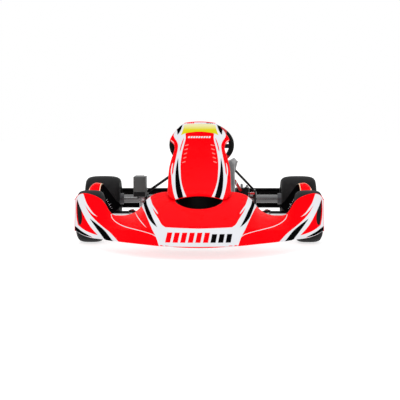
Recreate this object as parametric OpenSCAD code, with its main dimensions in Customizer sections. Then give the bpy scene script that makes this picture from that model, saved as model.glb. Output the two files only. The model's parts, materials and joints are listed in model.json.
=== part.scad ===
// Racing kart rolling chassis with bodywork, without its engine.
// Millimetres, +Z up, the front of the kart faces -Y and +X is the driver's left.
// The origin is on the ground, in the middle of the overall box.

/* [Layout] */
// Distance between the front and the rear axle
wheelbase = 1050; // [1040:1:1060]
// Ground position of the front axle along Y
front_axle_y = -345; // [-350:1:-340]
// Half the distance between the outer faces of the rear tyres
half_width = 700; // [690:1:700]
// Centre of a front tyre from the middle of the kart
front_tyre_x = 546; // [540:1:550]

/* [Wheels] */
// Radius of a front tyre
front_tyre_r = 131; // [128:0.5:132]
// Width of a front tyre
front_tyre_w = 132; // [128:1:134]
// Radius of a rear tyre
rear_tyre_r = 139.5; // [138:0.5:140]
// Width of a rear tyre
rear_tyre_w = 212; // [208:1:214]
// Radius of the rim's bead seat
bead_r = 63.5; // [63:0.5:64]
// Radius of the rear axle tube
axle_r = 25; // [25:0.5:25]
// Wall of the rear axle tube
axle_wall = 3; // [2:0.5:4]
// Length of the rear axle tube
axle_length = 1040; // [1030:1:1040]

/* [Frame] */
// Radius of the main frame tubes
tube_r = 15; // [14:0.5:16]
// Height of the main frame tubes' centre lines
rail_z = 55; // [54:0.5:57]
// Frame rails from the middle, at the rear
rail_x = 330; // [328:1:332]
// Radius of the bumper and side bar tubes
bar_r = 10; // [9:0.5:11]

/* [Steering] */
// Radius of the steering wheel to the middle of its grip
wheel_r = 159; // [150:0.5:160]
// Radius of the grip's section
grip_r = 14.5; // [14:0.5:17]
// Height of the steering wheel's centre
wheel_z = 479; // [476:1:482]
// Steering wheel and column from the middle of the kart
wheel_x = 9; // [8:1:10]
// Centre of the steering wheel along Y
wheel_y = -17; // [-20:1:-14]
// Pitch of the steering column from the ground
column_pitch = 45; // [45:1:45]
// Kingpin from the middle of the kart
kingpin_x = 342; // [340:1:344]
// Height of the kingpin's middle
kingpin_z = 127; // [125:1:129]
// Inward lean of the kingpin's top
kingpin_lean = 8; // [6:1:10]
// Rearward lean of the kingpin's top
caster = 5; // [4:1:6]
// Length of a steering arm
arm_length = 95; // [92:1:98]

/* [Bodywork] */
// Thickness of the plastic bodywork
skin = 4; // [3:0.5:4]
// Half width of the nose
nose_half = 595; // [590:1:598]
// Outer face of a side pod from the middle
pod_outer = 690; // [685:1:694]
// Rear face of the rear bumper
bumper_back = 1005; // [1000:1:1005]
// Seat from the middle of the kart
seat_x = 22; // [15:1:28]

/* [Hidden] */
$fn = 48;
rear_axle_y = front_axle_y + wheelbase;
rear_tyre_x = half_width - rear_tyre_w / 2;
eps = 0.01;
bolt_r = 4;
run_gap = 0.05;
stub_half = 21;
lug_h = 10;
spindle_r = 12.5;
hanger_t = 10;
bearing_r = 42;
pin_r = 52;
pin_x = 13;
column_r = 10;
plate_t = -433;
column_end = -553;
column_top = -32;
bearing_t = -249;
disc_x = 250;
disc_r = 92;
sprocket_x = -366;
sprocket_teeth = 80;
chain_pitch = 7.775;
sprocket_r = chain_pitch / (2 * sin(180 / sprocket_teeth));
pedal_y = -520;
pedal_z = 64;
pedal_x = 214;
rod_arm = 40;
lever_y = -135;
rod_x = 232;

// ---- shared geometry ----
function unit(v) = v / norm(v);
function step(t) = t * t * (3 - 2 * t);
function lerp(a, b, t) = a + (b - a) * t;
// Value at x of a smooth curve through the rows [x, value] of a table
function row(table, x, i = 0) = i >= len(table) - 2 || x <= table[i + 1][0] ? i : row(table, x, i + 1);
function slope(table, i) = i <= 0 || i >= len(table) - 1 ? 0
  : (table[i + 1][1] - table[i - 1][1]) / (table[i + 1][0] - table[i - 1][0]);
function hermite(a, b, ma, mb, t) = a * (1 + 2 * t) * pow(1 - t, 2) + b * t * t * (3 - 2 * t)
  + ma * t * pow(1 - t, 2) + mb * t * t * (t - 1);
function curve_in(table, x, i, d) = hermite(table[i][1], table[i + 1][1], slope(table, i) * d,
  slope(table, i + 1) * d, max(0, min(1, (x - table[i][0]) / d)));
function curve(table, x) = let (i = row(table, x)) curve_in(table, x, i, table[i + 1][0] - table[i][0]);

// A round rod from a to b
module rod(a, b, r) {
  d = b - a;
  translate(a) rotate([0, acos(d.z / norm(d)), atan2(d.y, d.x)]) cylinder(r = r, h = norm(d));
}
// Points of a path whose inner corners are rounded with bend radius R, a step about every 9 degrees
function round_corner(a, b, c, R) = let (u = unit(b - a), w = unit(c - b), turn = acos(u * w),
  cut = R * tan(turn / 2), inward = unit(w - (w * u) * u), centre = b - u * cut + inward * R,
  n = ceil(turn / 9)) [for (i = [0:n]) let (t = turn * i / n) centre - inward * R * cos(t) + u * R * sin(t)];
function rounded(p, R) = let (n = len(p) - 1)
  [p[0], for (i = [1:n - 1]) each round_corner(p[i - 1], p[i], p[i + 1], R), p[n]];
function heading(p, i) = let (n = len(p) - 1) unit(p[min(n, i + 1)] - p[max(0, i - 1)]);
// A tube with flat ends along the points c, with the given radius and number of sides
module sweep(c, r, sides) {
  n = len(c) - 1;
  points = [for (i = [0:n]) let (d = heading(c, i), s = unit(cross(d, [0.02, 0.05, 1])), u = cross(d, s))
    for (j = [0:sides - 1]) c[i] + r * (cos(j * 360 / sides) * s + sin(j * 360 / sides) * u)];
  polyhedron(points = points, faces = [
    [for (j = [0:sides - 1]) j],
    [for (j = [sides - 1:-1:0]) n * sides + j],
    for (i = [0:n - 1]) for (j = [0:sides - 1]) let (a = i * sides + j, b = i * sides + (j + 1) % sides)
      each [[a, a + sides, b + sides], [a, b + sides, b]]]);
}
tube_sides = 20;
module bent_tube(p, r, R) sweep(rounded(p, R), r, tube_sides);
function mirrored(p) = [for (q = p) [-q.x, q.y, q.z]];
module both_sides() {
  children();
  mirror([1, 0, 0]) children();
}
module ring(r_out, r_in, h) {
  difference() {
    cylinder(r = r_out, h = h);
    translate([0, 0, -1]) cylinder(r = r_in, h = h + 2);
  }
}
// Turns +Z to +X
module along_x() rotate([0, 90, 0]) children();
module at_kingpin(side) translate([side * kingpin_x, front_axle_y, kingpin_z])
  rotate([-caster, -side * kingpin_lean, 0]) children();
// The column's own frame: +Z runs up the column and the origin is the wheel's centre
module at_column() translate([wheel_x, wheel_y, wheel_z]) rotate([column_pitch - 90, 0, 0]) children();
// A closed shell between two grids of points with the same number of rows and columns
module shell(front, back) {
  rows = len(front);
  cols = len(front[0]);
  points = [for (r = front) each r, for (r = back) each r];
  b = rows * cols;
  top = rows - 1;
  last = cols - 1;
  quads = [
    for (i = [0:top - 1]) for (j = [0:last - 1]) each [
      [i * cols + j, i * cols + j + 1, (i + 1) * cols + j + 1],
      [i * cols + j, (i + 1) * cols + j + 1, (i + 1) * cols + j],
      [b + i * cols + j, b + (i + 1) * cols + j + 1, b + i * cols + j + 1],
      [b + i * cols + j, b + (i + 1) * cols + j, b + (i + 1) * cols + j + 1]],
    for (j = [0:last - 1]) each [
      [j, b + j, b + j + 1],
      [j, b + j + 1, j + 1],
      [top * cols + j, b + top * cols + j + 1, b + top * cols + j],
      [top * cols + j, top * cols + j + 1, b + top * cols + j + 1]],
    for (i = [0:top - 1]) each [
      [i * cols, b + (i + 1) * cols, b + i * cols],
      [i * cols, (i + 1) * cols, b + (i + 1) * cols],
      [i * cols + last, b + i * cols + last, b + (i + 1) * cols + last],
      [i * cols + last, b + (i + 1) * cols + last, (i + 1) * cols + last]]
  ];
  polyhedron(points = points, faces = quads);
}

// ---- frame ----
rail_back = 800;
rail_straight = 410;
rail_path = [[rail_x, rail_straight + 20, rail_z], [rail_x, 400, rail_z], [288, 90, rail_z], [300, -322, rail_z]];
// The straight rear stretch is a true round tube, because the engine mount clamps on it
module rail(path) {
  rod([path[0].x, rail_straight, rail_z], [path[0].x, rail_back, rail_z], tube_r);
  bent_tube(path, tube_r - 0.3, 120);
}
module frame_rail_left() color("dimgray") rail(rail_path);
module frame_rail_right() color("dimgray") rail(mirrored(rail_path));
loop_side = [[283, -345, rail_z], [170, -470, rail_z], [140, -700, rail_z]];
pedal_pin_r = 6;
module frame_front_loop() color("dimgray") {
  bent_tube([loop_side[0], loop_side[1], loop_side[2], mirrored(loop_side)[2], mirrored(loop_side)[1],
    mirrored(loop_side)[0]], tube_r, 70);
  both_sides() rod([162, pedal_y, pedal_z - 4], [182, pedal_y, pedal_z - 4], 9);
  both_sides() rod([180, pedal_y, pedal_z], [242, pedal_y, pedal_z], pedal_pin_r);
}
// Each cross tube: its place along Y and half its length
cross_tubes = [[570, 318], [110, 276], [-225, 284]];
module frame_cross_tubes() color("dimgray")
  for (c = cross_tubes) rod([-c[1], c[0], rail_z], [c[1], c[0], rail_z], tube_r - 1);
module kingpin_yokes() color("dimgray") both_sides() {
  at_kingpin(1) difference() {
    union() {
      for (z = [stub_half + 1, -stub_half - 1 - lug_h]) {
        translate([0, 0, z]) cylinder(r = 19, h = lug_h);
        translate([-44, -14, z]) cube([44, 28, lug_h]);
      }
      translate([-44, -14, -stub_half - 1 - lug_h]) cube([14, 28, 2 * (stub_half + 1 + lug_h)]);
    }
    translate([0, 0, -60]) cylinder(r = 11, h = 120);
  }
  rod([300, -325, rail_z], [313, -345, 105], tube_r - 2);
}
module bearing_hangers() color("dimgray") both_sides() difference() {
  translate([rail_x - hanger_t / 2, rear_axle_y, 0]) rotate([90, 0, 90]) linear_extrude(hanger_t)
    difference() {
      polygon([[-75, 69], [75, 69], [62, 160], [35, 196], [-35, 196], [-62, 160]]);
      translate([0, rear_tyre_r]) circle(bearing_r);
    }
  for (a = [60, 180, 300]) translate([rail_x - 20, rear_axle_y, rear_tyre_r])
    rotate([a, 0, 0]) translate([0, 0, 50]) along_x() cylinder(r = bolt_r, h = 40);
}
module steering_support() color("dimgray") {
  for (s = [-1, 1]) rod([s * 112, -225, 66], [wheel_x + s * 20, -166, 290], 8);
  translate([wheel_x - 24, -182, 284]) cube([48, 32, 12]);
}
module floor_tray() color("silver") translate([0, 0, 36]) linear_extrude(3)
  polygon([[-268, 88], [268, 88], [272, -250], [170, -400], [148, -672], [-148, -672], [-170, -400],
    [-272, -250]]);

// ---- bumpers and bodywork ----
lower_bar = [[168, -585, 76], [168, -830, 76], [-168, -830, 76], [-168, -585, 76]];
upper_bar = [[148, -590, 66], [148, -668, 188], [-148, -668, 188], [-148, -590, 66]];
module front_bumper_lower() color("black") bent_tube(lower_bar, bar_r, 60);
module front_bumper_upper() color("black") bent_tube(upper_bar, bar_r - 2, 50);
module nose_clamps() color("gray") both_sides() {
  translate([58, -668, 188]) along_x() ring(15, bar_r - 2, 34);
  translate([63, -694, 181]) cube([24, 13, 14]);
}
// Outline tables of the nose: distance from the middle, then a place along Y or a height
lip_y = [[0, -660], [170, -640], [290, -560], [390, -460], [455, -380], [550, -300], [595, -250]];
lip_z = [[0, 52], [170, 58], [280, 60], [455, 58], [510, 60], [560, 71], [595, 82]];
belt_z = [[0, 137], [170, 132], [290, 118], [390, 110], [455, 116], [550, 140], [595, 150]];
belt_back = [[0, 60], [170, 56], [290, 34], [390, 20], [595, 8]];
top_y = [[0, -227], [147, -227], [213, -232], [270, -262], [335, -300], [410, -300], [459, -275],
  [510, -245], [595, -232]];
top_z = [[0, 271], [147, 271], [213, 259], [250, 235], [276, 202], [298, 182], [320, 171], [345, 165],
  [372, 164], [405, 167], [424, 185], [441, 212], [460, 234], [480, 246], [510, 257], [545, 264], [570, 260],
  [583, 250], [595, 232]];
function nose_section(x, off_y, off_z) = let (a = abs(x), yl = curve(lip_y, a), zl = curve(lip_z, a),
  yb = yl + curve(belt_back, a), zb = curve(belt_z, a), yt = curve(top_y, a), zt = curve(top_z, a))
  [for (p = [[yl, zl], [yl - 3, lerp(zl, zb, 0.5)], [yb, zb],
    for (t = [0.25, 0.5, 0.75]) [lerp(yb, yt, t), lerp(zb, zt, t) + 7 * sin(180 * t)],
    [yt, zt], [yt + 14, zt - 8]])
    [x, front_axle_y + p[0] + off_y, p[1] + off_z]];
nose_steps = 44;
duct_r = 110;
duct_y = front_axle_y - 323;
module nose_fairing() color("red") difference() {
  shell([for (i = [0:nose_steps]) nose_section(lerp(-nose_half, nose_half, i / nose_steps), 0, 0)],
    [for (i = [0:nose_steps]) nose_section(lerp(-nose_half, nose_half, i / nose_steps), skin, -skin)]);
  translate([0, duct_y, 150]) cylinder(r = duct_r, h = 150);
}
// Front panel: height, half width and place along Y behind the front axle
panel_half = [[257, 112], [265, 130], [282, 148], [310, 151], [385, 151], [430, 143], [465, 132], [488, 127],
  [502, 129], [512, 136], [523, 148], [532, 152], [556, 139], [575, 124], [590, 104], [599, 90], [606, 80]];
panel_y = [[257, -345], [282, -300], [325, -215], [390, -105], [475, 10], [511, 50], [560, 100], [606, 140]];
panel_low = 257;
panel_high = 606;
function panel_crown(z) = step(max(0, min(1, (z - panel_low) / 80)));
function panel_droop(z) = 19 - 3 * panel_crown(z) - 9 * step(max(0, (z - 560) / 46));
function panel_row(z, off) = let (h = curve(panel_half, z), y = front_axle_y + curve(panel_y, z))
  [for (s = [1:-0.2:-1]) [s * h, y + 26 * panel_crown(z) * s * s + off * 0.6,
    z - panel_droop(z) * s * s - off * 0.8]];
panel_steps = 34;
module front_panel() color("red")
  shell([for (i = [0:panel_steps]) panel_row(lerp(panel_low, panel_high, i / panel_steps), 0)],
    [for (i = [0:panel_steps]) panel_row(lerp(panel_low, panel_high, i / panel_steps), skin)]);
module panel_bracket() color("black") {
  for (s = [-1, 1]) rod([wheel_x + s * 18, -206, 322], [s * 60, -322, 432], 6);
  rod([-66, -322, 432], [66, -322, 432], 6);
}
pod_front = -70;
pod_back = 520;
// Side pod section from the inner edge over the hump to the outer sill, at hump height h
function pod_edge(y) = lerp(pod_outer - 42, pod_outer, step(min(1, (y - pod_front) / 295)));
function pod_section(y, h, grow) = let (k = (h - 110) / 158, e = pod_edge(y))
  [for (p = [[470, 112], [lerp(490, 540, k), h - 8], [lerp(520, 560, k), h], [lerp(560, 610, k), h - 2],
    [e - lerp(64, 38, k), lerp(140, 222, k)], [e - 4, lerp(112, 150, k)], [e, 96], [e - 6, 64]])
    [p[0] - (p[0] > 560 ? grow : -grow * 0.4), y, p[1] - (p[1] > 100 ? grow : 0)]];
pod_hump = [[0, 128], [0.15, 205], [0.3, 262], [0.45, 266], [0.65, 236], [0.85, 190], [1, 150]];
pod_steps = 20;
function pod_grid(grow) = [for (i = [0:pod_steps])
  pod_section(lerp(pod_front, pod_back, i / pod_steps), curve(pod_hump, i / pod_steps), grow)];
module side_pod() shell(pod_grid(skin), pod_grid(0));
module side_pod_left() color("red") side_pod();
module side_pod_right() color("red") mirror([1, 0, 0]) side_pod();
side_bar_path = [[306, -20, 78], [610, -20, 78], [610, 440, 78], [338, 440, 78]];
module side_bars() color("black") both_sides() bent_tube(side_bar_path, bar_r, 60);
bumper_front = 872;
bumper_mid_z = 130.5;
bumper_half_h = 60.5;
bumper_end = half_width - 8;
// Half outline of a block with round corners: power runs from 1, a circle, to 0, a rectangle
function soft(v, power) = sign(v) * pow(abs(v), power);
function bumper_depth(x) = 34 + (bumper_back - bumper_front - 34) * pow(1 - pow(abs(x) / bumper_end, 7), 0.5);
function bumper_section(x, t) = [for (a = [-90:9:90])
  [x, bumper_front + (bumper_depth(x) - t) * soft(cos(a), 0.35), bumper_mid_z
    + (bumper_half_h - t) * soft(sin(a), 0.5)]];
bumper_steps = 32;
function bumper_x(i) = bumper_end * sin(90 * (2 * i / bumper_steps - 1));
module rear_bumper() color("black")
  shell([for (i = [0:bumper_steps]) bumper_section(bumper_x(i), 5)],
    [for (i = [0:bumper_steps]) bumper_section(bumper_x(i), 0)]);
module rear_bumper_brackets() color("dimgray") both_sides()
  bent_tube([[rail_x, rail_back, rail_z], [rail_x, 868, 92], [rail_x, 975, 118]], bar_r, 80);

// ---- seat ----
// Seat shell: along the middle from the front lip to the top of the back, [place along Y, height]
seat_line = [[75, 128], [135, 82], [220, 52], [330, 44], [420, 62], [480, 130], [515, 220], [540, 320],
  [553, 372]];
seat_half = [[0, 150], [1, 165], [2, 174], [3, 178], [4, 178], [5, 185], [6, 182], [7, 170], [8, 130]];
seat_side = [[0, 42], [1, 72], [2, 120], [3, 215], [4, 300], [5, 252], [6, 166], [7, 79], [8, 12]];
seat_lean = [[0, 0], [1, 0], [2, 0], [3, 10], [4, 20], [5, -40], [6, -80], [7, -60], [8, -10]];
function seat_wing(side) = 10 * pow(max(0, side - 0.8) / 0.2, 2) - 9 * sin(180 * side);
function seat_row(k, in) = let (i = min(7, floor(k)), f = k - i, y = lerp(seat_line[i][0], seat_line[i + 1][0], f),
  z = lerp(seat_line[i][1], seat_line[i + 1][1], f), h = curve(seat_half, k) - in,
  up = curve(seat_side, k), fwd = curve(seat_lean, k))
  [for (s = [-1:0.125:1]) let (a = abs(s), side = max(0, (a - 0.45) / 0.55), flat = min(1, a / 0.62))
    [seat_x + sign(s) * (h * sin(90 * flat) + seat_wing(side) * step(max(0, min(1, (k - 3.5) / 1.2)))), y + fwd * side - in * (k > 4.4 ? 1 : 0),
      z + in * (k > 4.4 ? 0.2 : 1) * (1 - side * 0.8) + up * pow(side, 1.5)]];
seat_rows = 24;
module seat_shell() color("gray")
  shell([for (i = [0:seat_rows]) seat_row(8 * i / seat_rows, 0)],
    [for (i = [0:seat_rows]) seat_row(8 * i / seat_rows, skin)]);
module seat_stays() color("black") {
  rod([rail_x - 11, 692, 200], [seat_x + 171, 474, 335], 7);
  rod([-rail_x + 10, 676, 186], [seat_x - 175, 474, 308], 8);
}
module seat_bolts() color("silver") {
  for (s = [-1, 1]) translate([seat_x + s * 188, 470, 250]) along_x() cylinder(r = 9, h = 8, center = true);
  for (s = [-1, 1]) translate([seat_x + s * 186, 300, 100]) along_x() cylinder(r = 9, h = 8, center = true);
}

// ---- tank, kingpins, bearings ----
module fuel_tank() color("white") difference() {
  union() {
    translate([-105, -140, 42]) cube([210, 190, 160]);
    translate([62, -96, 200]) cylinder(r = 24, h = 16);
  }
  translate([-101, -136, 46]) cube([202, 182, 152]);
  translate([62, -96, 190]) cylinder(r = 19, h = 40);
}
module fuel_cap() color("black") translate([62, -96, 216.4]) {
  cylinder(r = 27, h = 14);
  for (a = [0:30:330]) rotate(a) translate([26.5, 0, 0]) cylinder(r = 2.5, h = 14);
}
module kingpin_bolts() color("silver") for (s = [-1, 1]) at_kingpin(s) {
  translate([0, 0, -40]) cylinder(r = bolt_r, h = 80);
  translate([0, 0, 35.5]) cylinder(r = 7, h = 5);
  translate([0, 0, -40.5]) cylinder(r = 7, h = 5);
}
module caster_pills() color("firebrick") for (s = [-1, 1]) at_kingpin(s) for (m = [0, 1]) mirror([0, 0, m])
  difference() {
    union() {
      translate([0, 0, stub_half + 0.5]) cylinder(r = 11, h = 12);
      translate([0, 0, stub_half + 1 + lug_h]) cylinder(r = 15, h = 3.5);
    }
    translate([0, 0, 10]) cylinder(r = bolt_r, h = 40);
  }
module axle_bearings() color("silver") both_sides()
  translate([rail_x - 11, rear_axle_y, rear_tyre_r]) along_x() ring(bearing_r, axle_r + run_gap, 22);

// ---- drive and brake ----
guard_r = 137;
guard_front = 455;
guard_low = 168;
guard_high = 286;
guard_x = -394;
module guard_side(inset) {
  difference() {
    translate([rear_axle_y, rear_tyre_r]) circle(guard_r - inset);
    translate([rear_axle_y - 150, -60]) square([300, 60 + rear_tyre_r + 46]);
  }
  translate([guard_front + inset, guard_low - inset]) square([188 - inset, guard_high - guard_low]);
}
module chain_guard() color("dimgray") difference() {
  union() {
    translate([guard_x, 0, 0]) rotate([90, 0, 90]) linear_extrude(52) guard_side(0);
    translate([guard_x, guard_front, guard_low]) cube([72, 130, guard_high - guard_low]);
    translate([guard_x + 48, 690, 186]) cube([11, 26, 9]);
  }
  translate([guard_x + skin, 0, 0]) rotate([90, 0, 90]) linear_extrude(44) guard_side(skin);
  translate([guard_x + skin, guard_front + skin, guard_low - skin]) cube([64, 122, 108]);
}
module brake_caliper() color("black") {
  difference() {
    translate([214, 590, 154]) cube([72, 76, 58]);
    translate([233.5, 612, 160]) cube([33, 62, 42]);
    translate([242, 606, 146]) cube([16, 70, 80]);
  }
  translate([272, 606, 207]) rotate([90, 0, 0]) cylinder(r = 12, h = 22);
}
module caliper_bracket() color("firebrick") {
  translate([286, 610, 172]) cube([rail_x - 286 - hanger_t / 2, 60, 10]);
  rod([201, 490, 262], [241, 600, 196], 9);
}
module pad(x) translate([x, 620, 163]) cube([8, 34, 34]);
module pad_inner() color("gray") pad(234.6);
module pad_outer() color("gray") pad(257.4);
module brake_disc() color("silver") translate([disc_x, rear_axle_y, rear_tyre_r]) {
  difference() {
    translate([-6, 0, 0]) along_x() ring(disc_r, 62, 12);
    for (a = [0:20:340]) rotate([a, 0, 0]) translate([-10, 0, 80]) along_x() cylinder(r = bolt_r, h = 20);
  }
  for (a = [0:60:300]) rotate([a, 0, 0]) translate([-4, -8, 36]) cube([8, 16, 30]);
  translate([-4, 0, 0]) along_x() ring(40, axle_r, 34);
}
module sprocket() color("silver") translate([sprocket_x, rear_axle_y, rear_tyre_r]) {
  difference() {
    translate([-2.5, 0, 0]) along_x() ring(sprocket_r, 56, 5);
    for (i = [0:39]) rotate([i * 9, 0, 0]) translate([-5, 0, sprocket_r + 1]) along_x()
      cylinder(r = 4, h = 10, $fn = 16);
  }
  for (a = [0:60:300]) rotate([a, 0, 0]) translate([-4, -9, 34]) cube([8, 18, 26]);
  translate([-4, 0, 0]) along_x() ring(38, axle_r, 27);
}
module master_cylinder() color("black") {
  translate([rod_x + 16, lever_y + 32, 78]) rotate([-90, 0, 0]) cylinder(r = 13, h = 95);
  translate([rod_x + 6, lever_y + 50, 39]) cube([20, 50, 30]);
  translate([rod_x + 16, lever_y + 74, 86]) cylinder(r = 17, h = 34);
  translate([rod_x + 12, lever_y - 14, 39]) cube([10, 50, 50]);
  translate([rod_x + 3, lever_y, pedal_z]) along_x() cylinder(r = lever_pin_r, h = 12);
}
lever_pin_r = 5;
eye_t = 5;
module master_lever() color("silver") translate([rod_x + 3.5, lever_y, pedal_z]) difference() {
  union() {
    along_x() cylinder(r = 10, h = eye_t);
    translate([0, -6, 0]) cube([eye_t, 12, rod_arm]);
    translate([-8, 0, rod_arm]) along_x() cylinder(r = bolt_r, h = 8 + eye_t);
    translate([0, 0, rod_arm]) along_x() cylinder(r = 8, h = eye_t);
  }
  translate([-1, 0, 0]) along_x() cylinder(r = lever_pin_r + run_gap, h = eye_t + 2);
}
hose_points = [[rod_x + 16, -8, 78], [262, 60, 92], [264, 200, 92], [272, 400, 92], [286, 500, 110],
  [292, 540, 160], [288, 560, 205], [278, 582, 228], [272, 597, 216]];
function tween(p, t) = let (n = len(p) - 1, i = min(n - 1, floor(t * n)), f = t * n - i,
  a = p[max(0, i - 1)], b = p[i], c = p[i + 1], d = p[min(n, i + 2)])
  0.5 * (2 * b + (c - a) * f + (2 * a - 5 * b + 4 * c - d) * f * f + (3 * b - a - 3 * c + d) * f * f * f);
hose_rings = 60;
module brake_hose() color("black") sweep([for (i = [0:hose_rings]) tween(hose_points, i / hose_rings)], 3.5, 8);

// ---- steering ----
module steering_bearing() color("black") at_column() translate([0, 0, bearing_t]) difference() {
  translate([-22, -22, 0]) cube([44, 44, 24]);
  translate([0, 0, -1]) cylinder(r = column_r + run_gap, h = 30);
}
module steering_lower_joint() color("silver") difference() {
  union() {
    at_column() translate([0, 0, column_end - 2]) cylinder(r = 17, h = 14);
    rod([wheel_x, -436, rail_z], [wheel_x, -414, 80], 8);
    rod([-199, -436, rail_z], [199, -436, rail_z], 8);
  }
  at_column() translate([0, 0, column_end - 1.5]) cylinder(r = column_r - 2 + run_gap, h = 40);
}
module steering_column() color("silver") at_column() {
  translate([0, 0, column_end + 14]) cylinder(r = column_r, h = column_top - column_end - 14);
  translate([0, 0, column_end]) cylinder(r = column_r - 2, h = 20);
  translate([0, 0, plate_t]) difference() {
    union() {
      cylinder(r = 20, h = 6);
      translate([-26, 0, 0]) cube([52, pin_r + 12, 6]);
    }
    for (s = [-1, 1]) translate([s * pin_x, pin_r, -1]) cylinder(r = bolt_r, h = 10);
  }
}
module steering_hub() color("gray") at_column() translate([0, 0, -40]) difference() {
  union() {
    cylinder(r = 19, h = 32);
    translate([0, 0, 26]) cylinder(r = 36, h = 8);
  }
  translate([0, 0, -1]) cylinder(r = column_r, h = 9);
}
module steering_spokes() color("black") at_column() translate([0, 0, -6]) {
  difference() {
    cylinder(r = 38, h = 5);
    for (a = [0:60:300]) rotate(a) translate([27, 0, -1]) cylinder(r = 3, h = 8);
  }
  for (a = [0, 90, 180]) rotate(a) translate([34, -14, 0]) cube([wheel_r - 46, 28, 5]);
}
module steering_grip() color("black") at_column() rotate_extrude() translate([wheel_r, 0]) circle(grip_r);
hub_in = 478;
hub_out = 600;
module stub_axle(side) {
  difference() {
    union() {
      at_kingpin(side) translate([0, 0, -stub_half]) cylinder(r = 15, h = 2 * stub_half);
      translate([side * (kingpin_x + 6), front_axle_y, front_tyre_r]) rotate([0, side * 90, 0])
        cylinder(r = spindle_r, h = hub_out + 2 - kingpin_x - 6);
      translate([side * (hub_out + 1), front_axle_y, front_tyre_r]) rotate([0, side * 90, 0])
        cylinder(r = 15, h = 10, $fn = 6);
      translate([side * kingpin_x - 9, front_axle_y + 6, 122]) cube([18, arm_length - 6, 9]);
      translate([side * kingpin_x, front_axle_y + arm_length, 122]) cylinder(r = 9, h = 9);
    }
    at_kingpin(side) translate([0, 0, -40]) cylinder(r = bolt_r + run_gap, h = 80);
    translate([side * kingpin_x, front_axle_y + arm_length, 110]) cylinder(r = 3, h = 40);
  }
}
module stub_axle_left() color("silver") stub_axle(1);
module stub_axle_right() color("silver") stub_axle(-1);
rod_z = 140;
rod_r = 6;
eye_gap = 10;
pin_y = wheel_y + (plate_t - eye_gap) * cos(column_pitch) + pin_r * cos(column_pitch);
pin_z = wheel_z + (plate_t - eye_gap) * sin(column_pitch) - pin_r * sin(column_pitch);
module tie_rod(side) {
  outer = [side * kingpin_x, front_axle_y + arm_length, rod_z];
  inner = [wheel_x + side * pin_x, pin_y, pin_z];
  along = unit(outer - inner);
  rod(inner + along * 8, outer - along * 6, rod_r);
  translate(outer - [0, 0, 6]) cylinder(r = 11, h = 12);
  translate([outer.x, outer.y, 132.5]) cylinder(r = 6, h = 20);
  translate(inner) rotate([column_pitch - 90, 0, 0]) translate([0, 0, -3.5]) ring(9, bolt_r + 1, 7);
}
module tie_rod_left() color("silver") tie_rod(1);
module tie_rod_right() color("silver") tie_rod(-1);

// ---- wheels ----
front_rim_w = 118;
rear_rim_w = 196;
tyre_wall = 7;
module rim(w, disc_at, hole) {
  rotate_extrude() polygon([
    [bead_r + 9, -w / 2], [bead_r + 9, 4 - w / 2], [bead_r + 1, 5 - w / 2], [bead_r, 16 - w / 2],
    [bead_r - 8, 26 - w / 2], [bead_r - 8, w / 2 - 26], [bead_r, w / 2 - 16], [bead_r + 1, w / 2 - 5],
    [bead_r + 9, w / 2 - 4], [bead_r + 9, w / 2], [bead_r - 3, w / 2], [bead_r - 4, w / 2 - 18],
    [bead_r - 12, w / 2 - 28], [bead_r - 12, 28 - w / 2], [bead_r - 4, 18 - w / 2], [bead_r - 3, -w / 2]]);
  difference() {
    translate([0, 0, disc_at]) cylinder(r = bead_r - 11, h = 6);
    translate([0, 0, disc_at - 1]) cylinder(r = hole, h = 8);
    for (a = [0:120:240]) rotate(a) translate([hole + 9, 0, disc_at - 1]) cylinder(r = bolt_r, h = 8);
  }
}
// Points of a tyre section from bead to bead, t is the distance in from its outer surface
function tyre_points(R, w, rim_w, t) = let (low = bead_r + 9)
  [for (a = [-90:7.5:90]) let (s = sin(a), c = cos(a))
    [low + (R - t - low) * pow(max(0, c), 0.34), (w / 2 - t) * sign(s) * pow(abs(s), 0.72)]];
module tyre(R, w, rim_w) rotate_extrude() polygon(concat(
  [[bead_r + 1.4, 6 - rim_w / 2], [bead_r + 9, 4.3 - rim_w / 2], [bead_r + 9.6, -rim_w / 2]],
  tyre_points(R, w, rim_w, 0),
  [[bead_r + 9.6, rim_w / 2], [bead_r + 9, rim_w / 2 - 4.3], [bead_r + 1.4, rim_w / 2 - 6],
    [bead_r + 1.4, rim_w / 2 - 16], [bead_r + 9, rim_w / 2 - 13]],
  [for (i = [24:-1:0]) tyre_points(R, w, rim_w, tyre_wall)[i] + [2, 0]],
  [[bead_r + 9, 13 - rim_w / 2], [bead_r + 1.4, 16 - rim_w / 2]]));
module front_wheel_place(side) translate([side * front_tyre_x, front_axle_y, front_tyre_r])
  rotate([0, side * 90, 0]) children();
module front_hub(side) translate([side * hub_in, front_axle_y, front_tyre_r]) rotate([0, side * 90, 0])
  difference() {
    union() {
      cylinder(r = 24, h = hub_out - hub_in);
      translate([0, 0, 24]) cylinder(r = 42, h = 8);
    }
    translate([0, 0, -1]) cylinder(r = spindle_r + run_gap, h = 200);
    for (a = [0:120:240]) rotate(a) translate([34, 0, 20]) cylinder(r = bolt_r, h = 20);
  }
module front_hub_left() color("silver") front_hub(1);
module front_hub_right() color("silver") front_hub(-1);
front_disc_at = hub_in + 32 - front_tyre_x;
module front_rim_left() color("dimgray") front_wheel_place(1) rim(front_rim_w, front_disc_at, 25);
module front_rim_right() color("dimgray") front_wheel_place(-1) rim(front_rim_w, front_disc_at, 25);
module front_tyre_left() color("black") front_wheel_place(1) tyre(front_tyre_r, front_tyre_w, front_rim_w);
module front_tyre_right() color("black") front_wheel_place(-1) tyre(front_tyre_r, front_tyre_w, front_rim_w);
rear_hub_in = 470;
module rear_axle() color("silver") translate([-axle_length / 2, rear_axle_y, rear_tyre_r]) along_x()
  ring(axle_r, axle_r - axle_wall, axle_length);
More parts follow.
